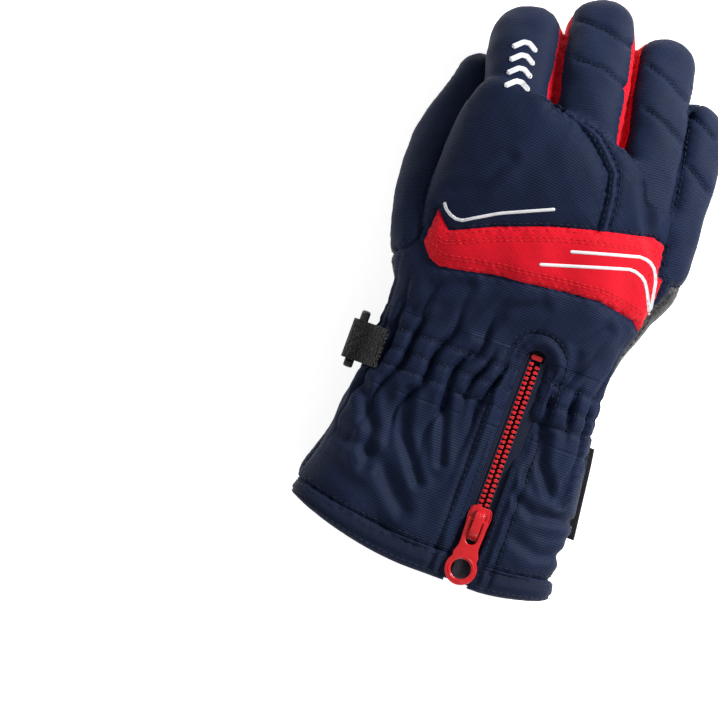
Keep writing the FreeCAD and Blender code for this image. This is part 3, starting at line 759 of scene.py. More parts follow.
def contour(skin, positions, normals, mask, field, level):
    """Lines on the displaced skin where a field has a level, as lists of (point, normal)."""
    t = skin.tris[mask]
    f = field[t] - level
    links, places = {}, {}
    for tri, values in zip(t[(f.min(1) < 0) & (f.max(1) >= 0)], f[(f.min(1) < 0) & (f.max(1) >= 0)]):
        keys = []
        for k in range(3):
            i, j = tri[k], tri[(k + 1) % 3]
            a, b = values[k], values[(k + 1) % 3]
            if (a < 0) != (b < 0):
                key = (min(i, j), max(i, j))
                share = a / (a - b)
                places[key] = (positions[i] * (1 - share) + positions[j] * share,
                               normals[i] * (1 - share) + normals[j] * share)
                keys.append(key)
        if len(keys) == 2:
            links.setdefault(keys[0], []).append(keys[1])
            links.setdefault(keys[1], []).append(keys[0])
    lines = []
    ends = [k for k, v in links.items() if len(v) == 1] + list(links)
    seen = set()
    for start in ends:
        if start in seen:
            continue
        line, here = [], start
        while here is not None and here not in seen:
            seen.add(here)
            line.append(places[here])
            here = next((k for k in links[here] if k not in seen), None)
        if len(line) > 4:
            lines.append(line)
    return lines


def spindle(start, end, normal, radius):
    """A thread from start to end: six-sided, thin at its ends and half sunk."""
    axis = end - start
    side = np.cross(axis, normal)
    side /= max(np.linalg.norm(side), 1e-9)
    lift = np.cross(side, axis)
    lift /= max(np.linalg.norm(lift), 1e-9)
    verts = []
    for share, width, sink in ((0, 0.35, -0.6), (0.2, 1, 0.15), (0.8, 1, 0.15), (1, 0.35, -0.6)):
        middle = start + axis * share + lift * radius * sink
        for k in range(6):
            turn = k * math.pi / 3
            verts.append(middle + radius * width * (side * math.cos(turn) + lift * math.sin(turn)))
    faces = [[0, 1, 2, 3, 4, 5], [23, 22, 21, 20, 19, 18]]
    for r in range(3):
        faces += [[r * 6 + (k + 1) % 6, r * 6 + k, r * 6 + 6 + k, r * 6 + 6 + (k + 1) % 6] for k in range(6)]
    return verts, faces


class Threads:
    """Gathers the stitches of one colour into one mesh."""

    def __init__(self):
        self.verts, self.faces = [], []

    def add(self, start, end, normal, radius):
        verts, faces = spindle(start, end, normal, radius)
        base = len(self.verts)
        self.verts += verts
        self.faces += [[i + base for i in face] for face in faces]

    def sew(self, line, pitch=2.6, length=2.0, radius=0.22):
        points = np.array([p for p, n in line])
        normals = np.array([n for p, n in line])
        run = np.concatenate([[0], np.cumsum(np.linalg.norm(np.diff(points, axis=0), axis=1))])
        at = 0.3
        while at + length < run[-1]:
            place = [np.array([np.interp(x, run, points[:, k]) for k in range(3)]) for x in (at, at + length)]
            normal = np.array([np.interp(at + length / 2, run, normals[:, k]) for k in range(3)])
            self.add(place[0], place[1], normal, radius)
            at += pitch

    def object(self, name, slot):
        return make_object(name, np.array(self.verts), self.faces, "glove", slot)


# ---- hard pieces ---------------------------------------------------------------------------------
def arc(x, y, radius, start, end, steps=10):
    turns = [math.radians(start + (end - start) * i / steps) for i in range(steps + 1)]
    return [(x + radius * math.cos(turn), y + radius * math.sin(turn)) for turn in turns]


def rounded_box(x0, x1, y0, y1, r):
    return (arc(x1 - r, y1 - r, r, 0, 90, 5) + arc(x0 + r, y1 - r, r, 90, 180, 5)
            + arc(x0 + r, y0 + r, r, 180, 270, 5) + arc(x1 - r, y0 + r, r, 270, 360, 5))


def plate(outlines, low, high, bevel):
    """Points (u, v, w) and faces of a flat piece with round edges; later outlines are holes."""
    curve = bpy.data.curves.new("plate", "CURVE")
    curve.dimensions = "2D"
    curve.fill_mode = "BOTH"
    curve.extrude = (high - low) / 2 - bevel
    curve.bevel_depth = bevel
    curve.bevel_resolution = 3
    curve.offset = -bevel
    for outline in outlines:
        spline = curve.splines.new("POLY")
        spline.points.add(len(outline) - 1)
        for point, (u, v) in zip(spline.points, outline):
            point.co = (u, v, 0, 1)
        spline.use_cyclic_u = True
    obj = bpy.data.objects.new("plate", curve)
    bpy.context.collection.objects.link(obj)
    mesh = bpy.data.meshes.new_from_object(obj)
    verts = np.array([v.co for v in mesh.vertices])
    verts[:, 2] += (low + high) / 2
    faces = [list(f.vertices) for f in mesh.polygons]
    bpy.data.objects.remove(obj)
    return verts, faces


def weld(obj, distance=0.00002):
    mesh = bmesh.new()
    mesh.from_mesh(obj.data)
    bmesh.ops.remove_doubles(mesh, verts=mesh.verts, dist=distance)
    bmesh.ops.recalc_face_normals(mesh, faces=mesh.faces)
    mesh.to_mesh(obj.data)
    mesh.free()
    for polygon in obj.data.polygons:
        polygon.use_smooth = True
    obj.data.set_sharp_from_angle(angle=math.radians(38))


def gather(*pieces):
    verts, faces = [], []
    for v, f in pieces:
        base = sum(len(x) for x in verts)
        verts.append(np.asarray(v, float))
        faces += [[i + base for i in face] for face in f]
    return np.concatenate(verts), faces


def moved(piece, offset):
    return piece[0] + np.array(offset, float), piece[1]


def turned(piece, axes):
    """Put a plate's u, v and w on the given axes, such as (1, 2, 0) for u on Y, v on Z and w on X."""
    verts = np.empty_like(piece[0])
    for source, target in enumerate(axes):
        verts[:, target] = piece[0][:, source]
    return verts, piece[1]


def ribbon(path, thickness):
    """Outline of a strip of this thickness centred on a path in a plane."""
    path = np.array(path, float)
    ahead = np.gradient(path, axis=0)
    ahead /= np.linalg.norm(ahead, axis=1)[:, None]
    aside = np.stack([-ahead[:, 1], ahead[:, 0]], 1) * thickness / 2
    return np.concatenate([path + aside, (path - aside)[::-1]]).tolist()


def smooth_path(points, steps=8):
    """A smooth curve through a few points, as many short steps."""
    points = np.array(points, float)
    rows = np.column_stack([np.arange(len(points)), points])
    return interpolate(rows, np.linspace(0, len(points) - 1, steps * (len(points) - 1) + 1))[:, 1:]


def hard_object(name, piece, body, slot, material, *nodes):
    obj = make_object(name, piece[0], piece[1], body, slot)
    weld(obj)
    obj.data.materials.append(material)
    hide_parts(*nodes)
    return obj


# ---- materials -----------------------------------------------------------------------------------
class Graph:
    """Builds one material's nodes."""

    def __init__(self, name, color, roughness, **sockets):
        self.material = bpy.data.materials.new(name)
        self.material.use_nodes = True
        self.nodes = self.material.node_tree.nodes
        self.links = self.material.node_tree.links
        self.shader = self.nodes["Principled BSDF"]
        self.color = color
        self.shader.inputs["Base Color"].default_value = (*color, 1)
        self.shader.inputs["Roughness"].default_value = roughness
        for key, value in sockets.items():
            self.shader.inputs[key.replace("_", " ")].default_value = value

    def node(self, kind, inputs, **settings):
        node = self.nodes.new(kind)
        for key, value in settings.items():
            setattr(node, key, value)
        for key, value in inputs.items():
            if isinstance(value, bpy.types.NodeSocket):
                self.links.new(value, node.inputs[key])
            else:
                node.inputs[key].default_value = value
        return node

    def math(self, operation, a, b=0.0):
        return self.node("ShaderNodeMath", {0: a, 1: b}, operation=operation).outputs[0]

    def blend(self, *terms):
        """The sum of values times their weights."""
        parts = [self.math("MULTIPLY", value, weight) for value, weight in terms]
        total = parts[0]
        for part in parts[1:]:
            total = self.math("ADD", total, part)
        return total

    def place(self):
        """Millimetres on the object."""
        texture = self.node("ShaderNodeTexCoord", {})
        return self.node("ShaderNodeVectorMath", {0: texture.outputs["Object"], 1: (1000, 1000, 1000)},
                         operation="MULTIPLY").outputs[0]

    def cloth(self):
        """Across, along and seam distance in millimetres on a sewn piece."""
        attribute = self.node("ShaderNodeAttribute", {}, attribute_name="cloth")
        return self.node("ShaderNodeSeparateXYZ", {0: attribute.outputs["Vector"]}).outputs

    def noise(self, size, detail=3.0, place=None):
        vector = self.place() if place is None else place
        inputs = {"Vector": vector, "Scale": 1 / size, "Detail": detail}
        return self.node("ShaderNodeTexNoise", inputs).outputs["Fac"]

    def ramp(self, value, low, high, to_low=0.0, to_high=1.0):
        node = self.node("ShaderNodeMapRange", {"Value": value, "From Min": low, "From Max": high,
                                                "To Min": to_low, "To Max": to_high})
        return node.outputs["Result"]

    def shade(self, factor, dark, light):
        """Colour from dark to light times the base colour, by a factor from 0 to 1."""
        colors = [tuple(min(1.0, c * k) for c in self.color) + (1,) for k in (dark, light)]
        node = self.node("ShaderNodeMix", {0: factor, 6: colors[0], 7: colors[1]}, data_type="RGBA")
        return node.outputs[2]

    def finish(self, height, depth, color=None, roughness=None, strength=1.0):
        bump = self.node("ShaderNodeBump", {"Height": height, "Distance": depth / 1000, "Strength": strength})
        self.links.new(bump.outputs["Normal"], self.shader.inputs["Normal"])
        if color is not None:
            self.links.new(color, self.shader.inputs["Base Color"])
        if roughness is not None:
            self.links.new(roughness, self.shader.inputs["Roughness"])
        return self.material


def ribs(graph, coordinate, pitch, wobble):
    turn = graph.math("ADD", graph.math("MULTIPLY", coordinate, 2 * math.pi / pitch), wobble)
    return graph.ramp(graph.math("SINE", turn), -1.0, 1.0)


def woven(name, color, roughness=0.66, sheen=0.01, pitch=0.85, thread=0.55):
    """Ribbed nylon: fine ribs across the piece, crossing threads, cloudy wear, paler at the seams."""
    graph = Graph(name, color, roughness, Sheen_Weight=sheen, Sheen_Roughness=0.45, Specular_IOR_Level=0.12)
    across, along, seam = graph.cloth()
    slub = graph.math("MULTIPLY", graph.noise(2.2, 2.0), 3.0)
    warp = ribs(graph, along, pitch, slub)
    weft = ribs(graph, across, thread, slub)
    weave = graph.blend((warp, 0.7), (weft, 0.3))
    cloud = graph.noise(14.0, 4.0)
    edge = graph.ramp(seam, 0.0, 1.8, 1.0, 0.0)
    fuzz = graph.noise(0.35, 2.0)
    worn = graph.math("MULTIPLY", edge, graph.noise(1.4, 2.0))
    tone = graph.blend((weave, 0.90), (cloud, 0.40), (worn, 0.30), (fuzz, 0.15))
    color_out = graph.shade(graph.ramp(tone, 0.30, 1.30), 0.50, 1.60)
    rough = graph.ramp(graph.math("ADD", cloud, worn), 0.2, 1.2, roughness - 0.08, roughness + 0.14)
    return graph.finish(graph.math("ADD", weave, graph.math("MULTIPLY", fuzz, 0.25)), 0.10, color_out, rough)


def leather(name, color):
    """Coated palm leather: fine pebble grain, rows of pin holes, creases and a duller worn bloom."""
    graph = Graph(name, color, 0.5, Coat_Weight=0.04, Coat_Roughness=0.4)
    across, along, seam = graph.cloth()
    grain = graph.node("ShaderNodeTexVoronoi", {"Vector": graph.place(), "Scale": 1 / 0.9},
                       feature="DISTANCE_TO_EDGE").outputs["Distance"]
    pebble = graph.ramp(grain, 0.0, 0.16)
    row = graph.math("FLOOR", graph.math("DIVIDE", along, 1.6))
    stagger = graph.math("MULTIPLY", graph.math("MODULO", row, 2.0), 1.0)
    u = graph.math("PINGPONG", graph.math("ADD", across, stagger), 1.0)
    v = graph.math("SUBTRACT", graph.math("MODULO", graph.math("ADD", along, 800.0), 1.6), 0.8)
    gap = graph.math("SQRT", graph.math("ADD", graph.math("MULTIPLY", u, u), graph.math("MULTIPLY", v, v)))
    hole = graph.ramp(gap, 0.22, 0.38)
    cloud = graph.noise(11.0, 5.0)
    height = graph.blend((pebble, 0.4), (hole, 0.8), (graph.noise(3.5, 3.0), 0.6))
    edge = graph.ramp(seam, 0.0, 2.0, 0.5, 0.0)
    tone = graph.math("MULTIPLY", graph.math("ADD", graph.math("ADD", pebble, cloud), edge), hole)
    color_out = graph.shade(graph.ramp(tone, 0.0, 1.9), 0.3, 2.0)
    rough = graph.ramp(cloud, 0.3, 0.7, 0.40, 0.60)
    return graph.finish(height, 0.16, color_out, rough)


def fleece(name, color, size=1.4, depth=0.5, sheen=0.5):
    """Brushed pile or loose wadding."""
    graph = Graph(name, color, 0.9, Sheen_Weight=sheen, Sheen_Roughness=0.6)
    tuft = graph.noise(size, 5.0)
    fine = graph.noise(size * 0.25, 3.0)
    height = graph.math("ADD", tuft, graph.math("MULTIPLY", fine, 0.4))
    rough = graph.ramp(tuft, 0.3, 0.7, 0.82, 0.98)
    return graph.finish(height, depth, graph.shade(graph.ramp(height, 0.4, 1.0), 0.6, 1.3), rough)


def knitted(name, color, pitch=0.7):
    """Tape, webbing or elastic: ribs along Y with small crossing threads."""
    graph = Graph(name, color, 0.75, Specular_IOR_Level=0.15)
    place = graph.node("ShaderNodeSeparateXYZ", {0: graph.place()}).outputs
    slub = graph.math("MULTIPLY", graph.noise(1.5, 2.0), 2.0)
    warp = ribs(graph, graph.math("ADD", place[0], place[2]), pitch, slub)
    weft = ribs(graph, place[1], pitch * 0.8, slub)
    weave = graph.blend((warp, 0.6), (weft, 0.5))
    rough = graph.ramp(graph.noise(6.0), 0.3, 0.7, 0.62, 0.8)
    return graph.finish(weave, 0.12, graph.shade(weave, 0.5, 1.5), rough)


def pebbled(name, color):
    """Grained coated strap."""
    graph = Graph(name, color, 0.5, Specular_IOR_Level=0.25)
    cell = graph.node("ShaderNodeTexVoronoi", {"Vector": graph.place(), "Scale": 1 / 1.1}).outputs["Distance"]
    bead = graph.ramp(cell, 0.15, 0.75, 1.0, 0.0)
    rough = graph.ramp(graph.noise(4.0, 4.0), 0.3, 0.7, 0.38, 0.58)
    return graph.finish(bead, 0.6, graph.shade(bead, 0.3, 3.0), rough)


def moulded(name, color, roughness=0.3, coat=0.3):
    """Injection-moulded plastic with a faint orange peel, scuffs and dulled patches."""
    graph = Graph(name, color, roughness, Coat_Weight=coat, Coat_Roughness=0.15)
    peel = graph.noise(0.9, 2.0)
    scuff = graph.noise(3.0, 6.0)
    inputs = {0: graph.place(), 1: (3.0, 0.4, 3.0)}
    stretched = graph.node("ShaderNodeVectorMath", inputs, operation="MULTIPLY")
    scratch = graph.noise(0.5, 4.0, stretched.outputs[0])
    marks = graph.ramp(scratch, 0.60, 0.74)
    height = graph.math("SUBTRACT", peel, graph.math("MULTIPLY", marks, 0.6))
    rough = graph.math("ADD", graph.ramp(scuff, 0.35, 0.7, roughness - 0.08, roughness + 0.12),
                       graph.math("MULTIPLY", marks, 0.12))
    tone = graph.blend((scuff, 0.7), (marks, 0.3))
    return graph.finish(height, 0.03, graph.shade(graph.ramp(tone, 0.2, 0.8), 0.9, 1.08), rough)


def rubbery(name, color):
    """Raised screen print: smooth and slightly cracked."""
    graph = Graph(name, color, 0.5)
    crack = graph.node("ShaderNodeTexVoronoi", {"Vector": graph.place(), "Scale": 1 / 2.2},
                       feature="DISTANCE_TO_EDGE").outputs["Distance"]
    line = graph.ramp(crack, 0.0, 0.05)
    speck = graph.noise(0.5, 3.0)
    height = graph.blend((line, 0.6), (speck, 0.5))
    rough = graph.ramp(speck, 0.3, 0.7, 0.42, 0.62)
    return graph.finish(height, 0.05, graph.shade(graph.ramp(speck, 0.25, 0.75), 0.86, 1.05), rough)


def twisted(name, color):
    """Sewing thread."""
    graph = Graph(name, color, 0.6, Specular_IOR_Level=0.2)
    place = graph.node("ShaderNodeSeparateXYZ", {0: graph.place()}).outputs
    turn = graph.math("ADD", graph.math("ADD", place[0], place[1]), place[2])
    ply = ribs(graph, turn, 0.45, graph.math("MULTIPLY", graph.noise(1.2), 2.0))
    rough = graph.ramp(ply, 0.0, 1.0, 0.45, 0.65)
    return graph.finish(ply, 0.08, graph.shade(ply, 0.5, 1.4), rough)


MATERIALS = {
    "navy": woven("navy_nylon", NAVY),
    "cuff": woven("navy_cuff_nylon", (0.0075, 0.0142, 0.041), pitch=1.0),
    "red": woven("red_nylon", RED, sheen=0.1, pitch=0.6),
    "leather": leather("palm_leather", (0.020, 0.020, 0.022)),
    "binding": woven("binding_tape", (0.0075, 0.013, 0.035), pitch=0.7),
    "wadding": fleece("wadding", (0.80, 0.80, 0.78), 2.5, 0.9),
    "membrane": moulded("membrane_film", (0.62, 0.66, 0.70), 0.45, 0.0),
    "lining": fleece("fleece_lining", (0.018, 0.022, 0.040), 1.0, 0.4),
    "elastic": knitted("elastic", (0.55, 0.55, 0.56), 1.2),
    "print": rubbery("white_print", (0.84, 0.85, 0.88)),
    "label": knitted("label_satin", (0.010, 0.010, 0.011), 0.35),
    "label_bars": rubbery("label_print", (0.30, 0.30, 0.32)),
    "tape": knitted("zip_tape", (0.010, 0.013, 0.030), 0.8),
    "plastic": moulded("red_plastic", (0.62, 0.008, 0.014)),
    "webbing": pebbled("coated_webbing", (0.0055, 0.0055, 0.006)),
    "hook": moulded("hook_plastic", (0.035, 0.036, 0.040), 0.42, 0.1),
    "navy_thread": twisted("navy_thread", (0.012, 0.018, 0.040)),
    "red_thread": twisted("red_thread", (0.62, 0.010, 0.016)),
    "black_thread": twisted("black_thread", (0.022, 0.022, 0.025)),
}
FABRIC_OF = {
    "hem_binding": ("binding", "binding"),
    "cuff_thumb_side_panel": ("navy_fabric", "cuff"),
    "cuff_little_side_panel": ("navy_fabric", "cuff"),
    "cuff_palm_panel": ("navy_fabric", "cuff"),
    "accent_band": ("red_fabric", "red"),
    "fourchette_index_middle": ("red_fabric", "red"),
    "fourchette_middle_ring": ("red_fabric", "red"),
    "palm_panel": ("palm_leather", "leather"),
    "little_finger_pad": ("palm_leather", "leather"),
    "thumb_palm_panel": ("palm_leather", "leather"),
    "thumb_tip_patch": ("palm_leather", "leather"),
}


# ---- the sewn shell ------------------------------------------------------------------------------
def binding_depth(y):
    """Thickness of the hem binding, which folds round the edge to meet the lining."""
    past = y - HEM_Y
    return SHELL_T + 3.4 * np.clip(past / 1.2, 0, 1) * (1 - np.clip((past - 3.0) / 1.5, 0, 1))


def hem_lift(points):
    """How far the hem is pushed towards the fingers at its two sides, most on the thumb's side."""
    share = np.clip((-36.0 - points[:, 1]) / 46.0, 0, 1) ** 1.5
    left = HEM_LIFT_THUMB * np.clip(-(points[:, 0] + 4.0) / 52.0, 0, 1.1) ** 1.8
    right = HEM_LIFT_LITTLE * np.clip((points[:, 0] - 24.0) / 27.0, 0, 1.1) ** 1.5
    result = np.zeros_like(points)
    result[:, 1] = share * (left + right)
    return result


def soften_roots(skin, rounds=30):
    """Melt the fingers' backs into the back of the hand, leaving the crotches between the fingers sharp."""
    digits = np.sort(np.stack([skin.column(name + "_d") for name in FINGERS], 1), 1)
    step = np.abs(skin.column("hand") - digits[:, 0])
    near = (step < 5.0) & (digits[:, 1] - digits[:, 0] > 2.5) & (side_field(skin.verts, skin.data) > 5)
    near &= (skin.verts[:, 1] > 66) & (skin.verts[:, 1] < 112)
    pairs = np.unique(np.sort(np.concatenate([skin.tris[:, [k, (k + 1) % 3]] for k in range(3)]), 1), axis=0)
    pairs = pairs[near[pairs].any(1)]
    count = np.bincount(pairs.ravel(), minlength=len(near)).astype(float)
    for _ in range(rounds):
        total = np.zeros_like(skin.verts)
        np.add.at(total, pairs[:, 0], skin.verts[pairs[:, 1]])
        np.add.at(total, pairs[:, 1], skin.verts[pairs[:, 0]])
        skin.verts[near] += 0.6 * (total[near] / count[near][:, None] - skin.verts[near])


def build_shell():
    skin = Skin(*blob(0.0, VOXEL, 4))
    soften_roots(skin)
    cut_panels(skin)
    panels = panel_of(skin)
    kept = panels != DROPPED
    skin.tris, panels = skin.tris[kept], panels[kept]
    seam = seam_distance(skin, panels)
    base = vertex_normals(skin.verts, skin.tris)
    out = wrinkles(skin, seam)
    edge = np.clip(1 - (skin.verts[:, 1] - HEM_Y) / 1.6, 0, 1) ** 2 * (owner(skin.data) == 0)
    outer = skin.verts + base * (out - 1.7 * edge)[:, None]
    outer += hem_lift(skin.verts)
    outer[:, 2] = np.maximum(outer[:, 2], GROUND_Z)
    beyond = np.maximum(slot_field(skin.verts) - PULL_REACH, 0)
    beyond = beyond + np.maximum(skin.verts[:, 1] - PULL_TOP_Y, 0)
    outer[:, 2] = np.minimum(outer[:, 2], PULL_CLEAR_Z + beyond)
    place = np.column_stack([cloth_place(skin), seam])
    normals = vertex_normals(outer, skin.tris)
    for number, name in enumerate(PANELS):
        depth = np.full(len(outer), SHELL_T)
        if name == "hem_binding":
            depth = binding_depth(skin.verts[:, 1])
        slot_edge = np.where(skin.verts[:, 1] < 22, hill(slot_field(skin.verts), 1.3), 0)
        depth = np.maximum(depth, SHELL_T + 1.6 * slot_edge)
        slot, material = FABRIC_OF.get(name, ("navy_fabric", "navy"))
        inner = outer - base * depth[:, None]
        obj = panel_object(name + "_cut", outer, inner, skin.tris[panels == number], place, slot)
        obj.data.materials.append(MATERIALS[material])
        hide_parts(name)
    return skin, panels, seam, outer, normals


def draped_strip(tree, path, half, rise):
    """Points and faces of a flat strip with rounded ends, laid from above on the displaced skin."""
    corners = np.array(path, float)
    softened = [corners[0]]
    for before, corner, after in zip(corners, corners[1:], corners[2:]):
        for other in (before, after):
            step = other - corner
            softened.append(corner + step * min(0.3, CORNER_CUT / np.linalg.norm(step)))
    softened.append(corners[-1])
    parts = [np.linspace(a, b, 13)[:-1] for a, b in zip(softened, softened[1:])]
    line = np.concatenate(parts + [corners[-1:]])
    for _ in range(2):
        step = (line[1] - line[0]) / np.linalg.norm(line[1] - line[0])
        cap = [line[0]] + [line[0] + step * half * share for share in (0.15, 0.5, 1.0)]
        line = np.concatenate([cap, line[1:]])[::-1]
    run = np.concatenate([[0], np.cumsum(np.linalg.norm(np.diff(line, axis=0), axis=1))])
    ahead = np.diff(line, axis=0, append=line[-1:] * 2 - line[-2:-1])
    ahead /= np.linalg.norm(ahead, axis=1)[:, None]
    aside = np.stack([-ahead[:, 1], ahead[:, 0]], 1)
    end = np.clip(np.minimum(run, run[-1] - run) / half, 0.05, 1)
    wide = half * np.sqrt(1 - (1 - end) ** 2)
    shares = (-1.0, -0.8, 0.0, 0.8, 1.0)
    heights = (-0.1, rise * 0.8, rise, rise * 0.8, -0.1)
    verts = []
    for k in range(len(line)):
        for share, height in zip(shares, heights):
            x, y = line[k] + aside[k] * wide[k] * share
            hit = tree.ray_cast((x, y, 90.0), (0, 0, -1.0))[0]
            verts.append((x, y, (hit.z if hit else 30.0) + height))
    verts = np.array(verts).reshape(len(line), 5, 3)
    top = verts.reshape(-1, 3)
    under = top.copy()
    under[:, 2] = verts[:, :1, 2].repeat(5, 1).ravel() - 0.15
    firsts = [r * 5 + i for r in range(len(line) - 1) for i in range(4)]
    strip = [[k, k + 5, k + 6, k + 1] for k in firsts]
    tris = np.array([[f[0], f[2], f[1]] for f in strip] + [[f[0], f[3], f[2]] for f in strip])
    verts, faces, _ = thicken(top, under, tris)
    return verts, faces


def build_prints(skin, outer):
    """White lines printed on the back, and raised chevrons on the index finger."""
    tree = BVHTree.FromPolygons(outer.tolist(), skin.tris.tolist())
    lines = [draped_strip(tree, line, PRINT_HALF, 0.22) for line in PRINTED_LINES]
    chevrons = []
    for number in range(MOTIF_COUNT):
        x = MOTIF_FIRST[0] + number * MOTIF_STEP[0]
        y = MOTIF_FIRST[1] + number * MOTIF_STEP[1]
        chevrons.append(draped_strip(tree, [(x - 4.6, y - 4.4), (x, y), (x + 4.8, y - 3.0)], 1.05, 0.4))
    for node, name, pieces in (("printed_lines", "printed_lines_raised", lines),
                               ("finger_motif", "finger_motif_raised", chevrons)):
        verts, faces = gather(*pieces)
        obj = make_object(name, verts, faces, "glove", "print")
        obj.data.materials.append(MATERIALS["print"])
        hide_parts(node)


THREAD_SLOTS = {"navy_thread": "navy_fabric", "red_thread": "red_fabric", "black_thread": "palm_leather"}
STITCH_ROWS = {            # panels, and the distances of their rows from the seam
    "red_thread": [("accent_band", 1.3, 4.0, 5.2), ("fourchette_index_middle", 1.2),
                   ("fourchette_middle_ring", 1.2)],
    "black_thread": [("palm_panel", 1.6), ("little_finger_pad", 1.5), ("thumb_tip_patch", 1.4, 3.0),
                     ("thumb_palm_panel", 1.5)],
    "navy_thread": [("hem_binding", 2.0), ("welt_seam", 0.9), ("back_inner_panel", 1.3),
                    ("back_outer_panel", 1.3), ("thumb_back_panel", 1.3), ("cuff_thumb_side_panel", 1.6),
                    ("cuff_little_side_panel", 1.6), ("cuff_palm_panel", 1.5)],
}


def build_stitches(skin, panels, seam, outer, normals):
    """Top stitching beside the seams, the fingers' quilting and the zigzags over the elastic."""
    threads = {key: Threads() for key in THREAD_SLOTS}
    for thread, rows in STITCH_ROWS.items():
        for name, *levels in rows:
            mask = panels == PANELS.index(name)
            for level in levels:
                for line in contour(skin, outer, normals, mask, seam, level):
                    threads[thread].sew(line)

    data = skin.data
    own = owner(data)
    x, y = skin.verts[:, 0], skin.verts[:, 1]
    on_back = (own > 1) & (own < 5) & (own_value(data, own, "_b") > BACK_SEAM_UP)
    for line in QUILT_LINES:
        xs, ys = zip(*line)
        field = y - np.interp(x, xs, ys)
        near = on_back & (x > xs[0] - 3) & (x < xs[-1] + 3)
        mask = near[skin.tris].all(1)
        for level in (-0.55, 0.55):
            for row in contour(skin, outer, normals, mask, field, level):
                threads["navy_thread"].sew(row, 2.0, 1.5)
    slot = slot_field(skin.verts)
    beside_zip = (slot[skin.tris] < 9).all(1) & (skin.verts[skin.tris, 1] > BINDING_Y).all(1)
    for level in PLACKET_ROWS:
        for line in contour(skin, outer, normals, beside_zip, slot, level):
            threads["navy_thread"].sew(line)
    gaiter = panels == PANELS.index("wrist_gaiter")
    zigzag = 2.0 * (np.abs((data[:, 4] * 26) % 2 - 1) - 0.5)
    for row in ELASTIC_ROWS:
        for line in contour(skin, outer, normals, gaiter, data[:, 0] - ELASTIC_Y - row - zigzag, 0.0):
            threads["navy_thread"].sew(line, 2.1, 1.6)
    for key, gathered in threads.items():
        obj = gathered.object("stitches_" + key.split("_")[0], THREAD_SLOTS[key])
        obj.data.materials.append(MATERIALS[key])


# ---- inside layers -------------------------------------------------------------------------------
WADDING_INSET = 3.2        # how far each layer lies inside the shell's plain tubes
FILM_INSET = 4.4
LINING_INSET = 4.9
WAIST_DRAW = 2.2           # how much further in the layers lie under the elastic


def layer_skin(inset, start_y, voxel=2.2):
    skin = Skin(*blob(inset, voxel, 3))
    skin.cut(skin.verts[:, 1] - start_y)
    skin.cut(np.where(skin.verts[:, 2] > 28, slot_field(skin.verts) - SLOT_MARGIN, 50.0))
    centre = skin.verts[skin.tris].mean(1)
    kept = centre[:, 1] > start_y
    if inset < 4.5:
        kept &= slot_field(centre) > SLOT_MARGIN
    skin.tris = skin.tris[kept]
    return skin


def layer_object(name, skin, mask, depth, slot, material, bumps=0.0, size=9.0):
    base = vertex_normals(skin.verts, skin.tris)
    waist = WAIST_DRAW * np.where(owner(skin.data) == 0, hill(skin.verts[:, 1] - ELASTIC_Y, 24.0), 0)
    outer = skin.verts + base * (bumps * waves(skin.verts, size, 71) - waist)[:, None] + hem_lift(skin.verts)
    place = np.column_stack([cloth_place(skin), np.full(len(outer), 9.0)])
    obj = panel_object(name, outer, outer - base * depth, skin.tris[mask], place, slot)
    obj.data.materials.append(MATERIALS[material])
    return obj


def build_layers():
    wadding = layer_skin(WADDING_INSET, HEM_Y + 3.5)
    own = owner(wadding.data[wadding.tris].mean(1))
    for name, mask in (("hand", own == 0), ("fingers", (own > 0) & (own < 5)), ("thumb", own == 5)):
        obj = layer_object("wadding_" + name, wadding, mask, 1.0, "wadding", "wadding", 0.12)
        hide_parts("insulation_" + name)
    film = layer_skin(FILM_INSET, HEM_Y + 3.5)
    whole = np.full(len(film.tris), True)
    obj = layer_object("membrane_film", film, whole, 0.25, "membrane", "membrane", 0.05)
    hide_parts("membrane")
    lining = layer_skin(LINING_INSET, HEM_Y + 2.4)
    own = owner(lining.data[lining.tris].mean(1))
    low = lining.verts[lining.tris].mean(1)[:, 1] < GAITER_Y
    for name, mask in (("cuff", low & (own == 0)), ("hand", ~(low & (own == 0)))):
        obj = layer_object(name + "_lining_fleece", lining, mask, 0.8, "lining", "lining", 0.12, 7.0)
        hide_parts(name + "_lining")
    place = wadding.verts[wadding.tris].mean(1)[:, 1]
    band = (place > ELASTIC_Y - 8.5) & (place < ELASTIC_Y + 8.5)
    obj = layer_object("elastic_band", wadding, band, -0.3, "elastic", "elastic")
    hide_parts("wrist_elastic")


# ---- the zip -------------------------------------------------------------------------------------
CHAIN_Y = (-79.0, 9.0)
TOOTH_PITCH = 2.0
TOOTH_IN = 0.4
TOOTH_OUT = 2.3
SPREAD_FROM_Y = -60.0
TOOTH_Z = (36.8, 38.4)
SLIDER_Y = (-64.0, -50.5)
SLIDER_HALF = 4.6
SLIDER_PLATES_Z = ((35.5, 36.4), (38.8, 39.7))
BRIDGE_HALF = 0.3
BAIL_HALF = 1.8
BAIL_TOP_Z = 43.3
PIN_Y = -56.0
PIN_Z = 41.0
PULL_RING_AT = 19.6
PULL_RING_R = 6.3
PULL_EYE_R = 3.9
PULL_HALF = 4.2


def spread(y):
    """How far each row stands aside below the slider, where the two are still apart."""
    return 0.24 * max(0.0, SPREAD_FROM_Y - y)


def tooth(way, y):
    """One zip tooth: a neck on the tape's edge and a rounded head; way is its side of the zip."""
    heads = [(TOOTH_OUT, -0.45), (TOOTH_IN + 1.2, -0.45), (TOOTH_IN + 1.0, -0.72), (TOOTH_IN + 0.25, -0.66),
             (TOOTH_IN, -0.35)]
    outline = heads + [(u, -v) for u, v in heads[::-1]]
    if way < 0:
        outline = [(-u, v) for u, v in outline[::-1]]
    return moved(plate([outline], TOOTH_Z[0], TOOTH_Z[1], 0.16), (ZIP_X + way * spread(y), y + 0.65, 0))


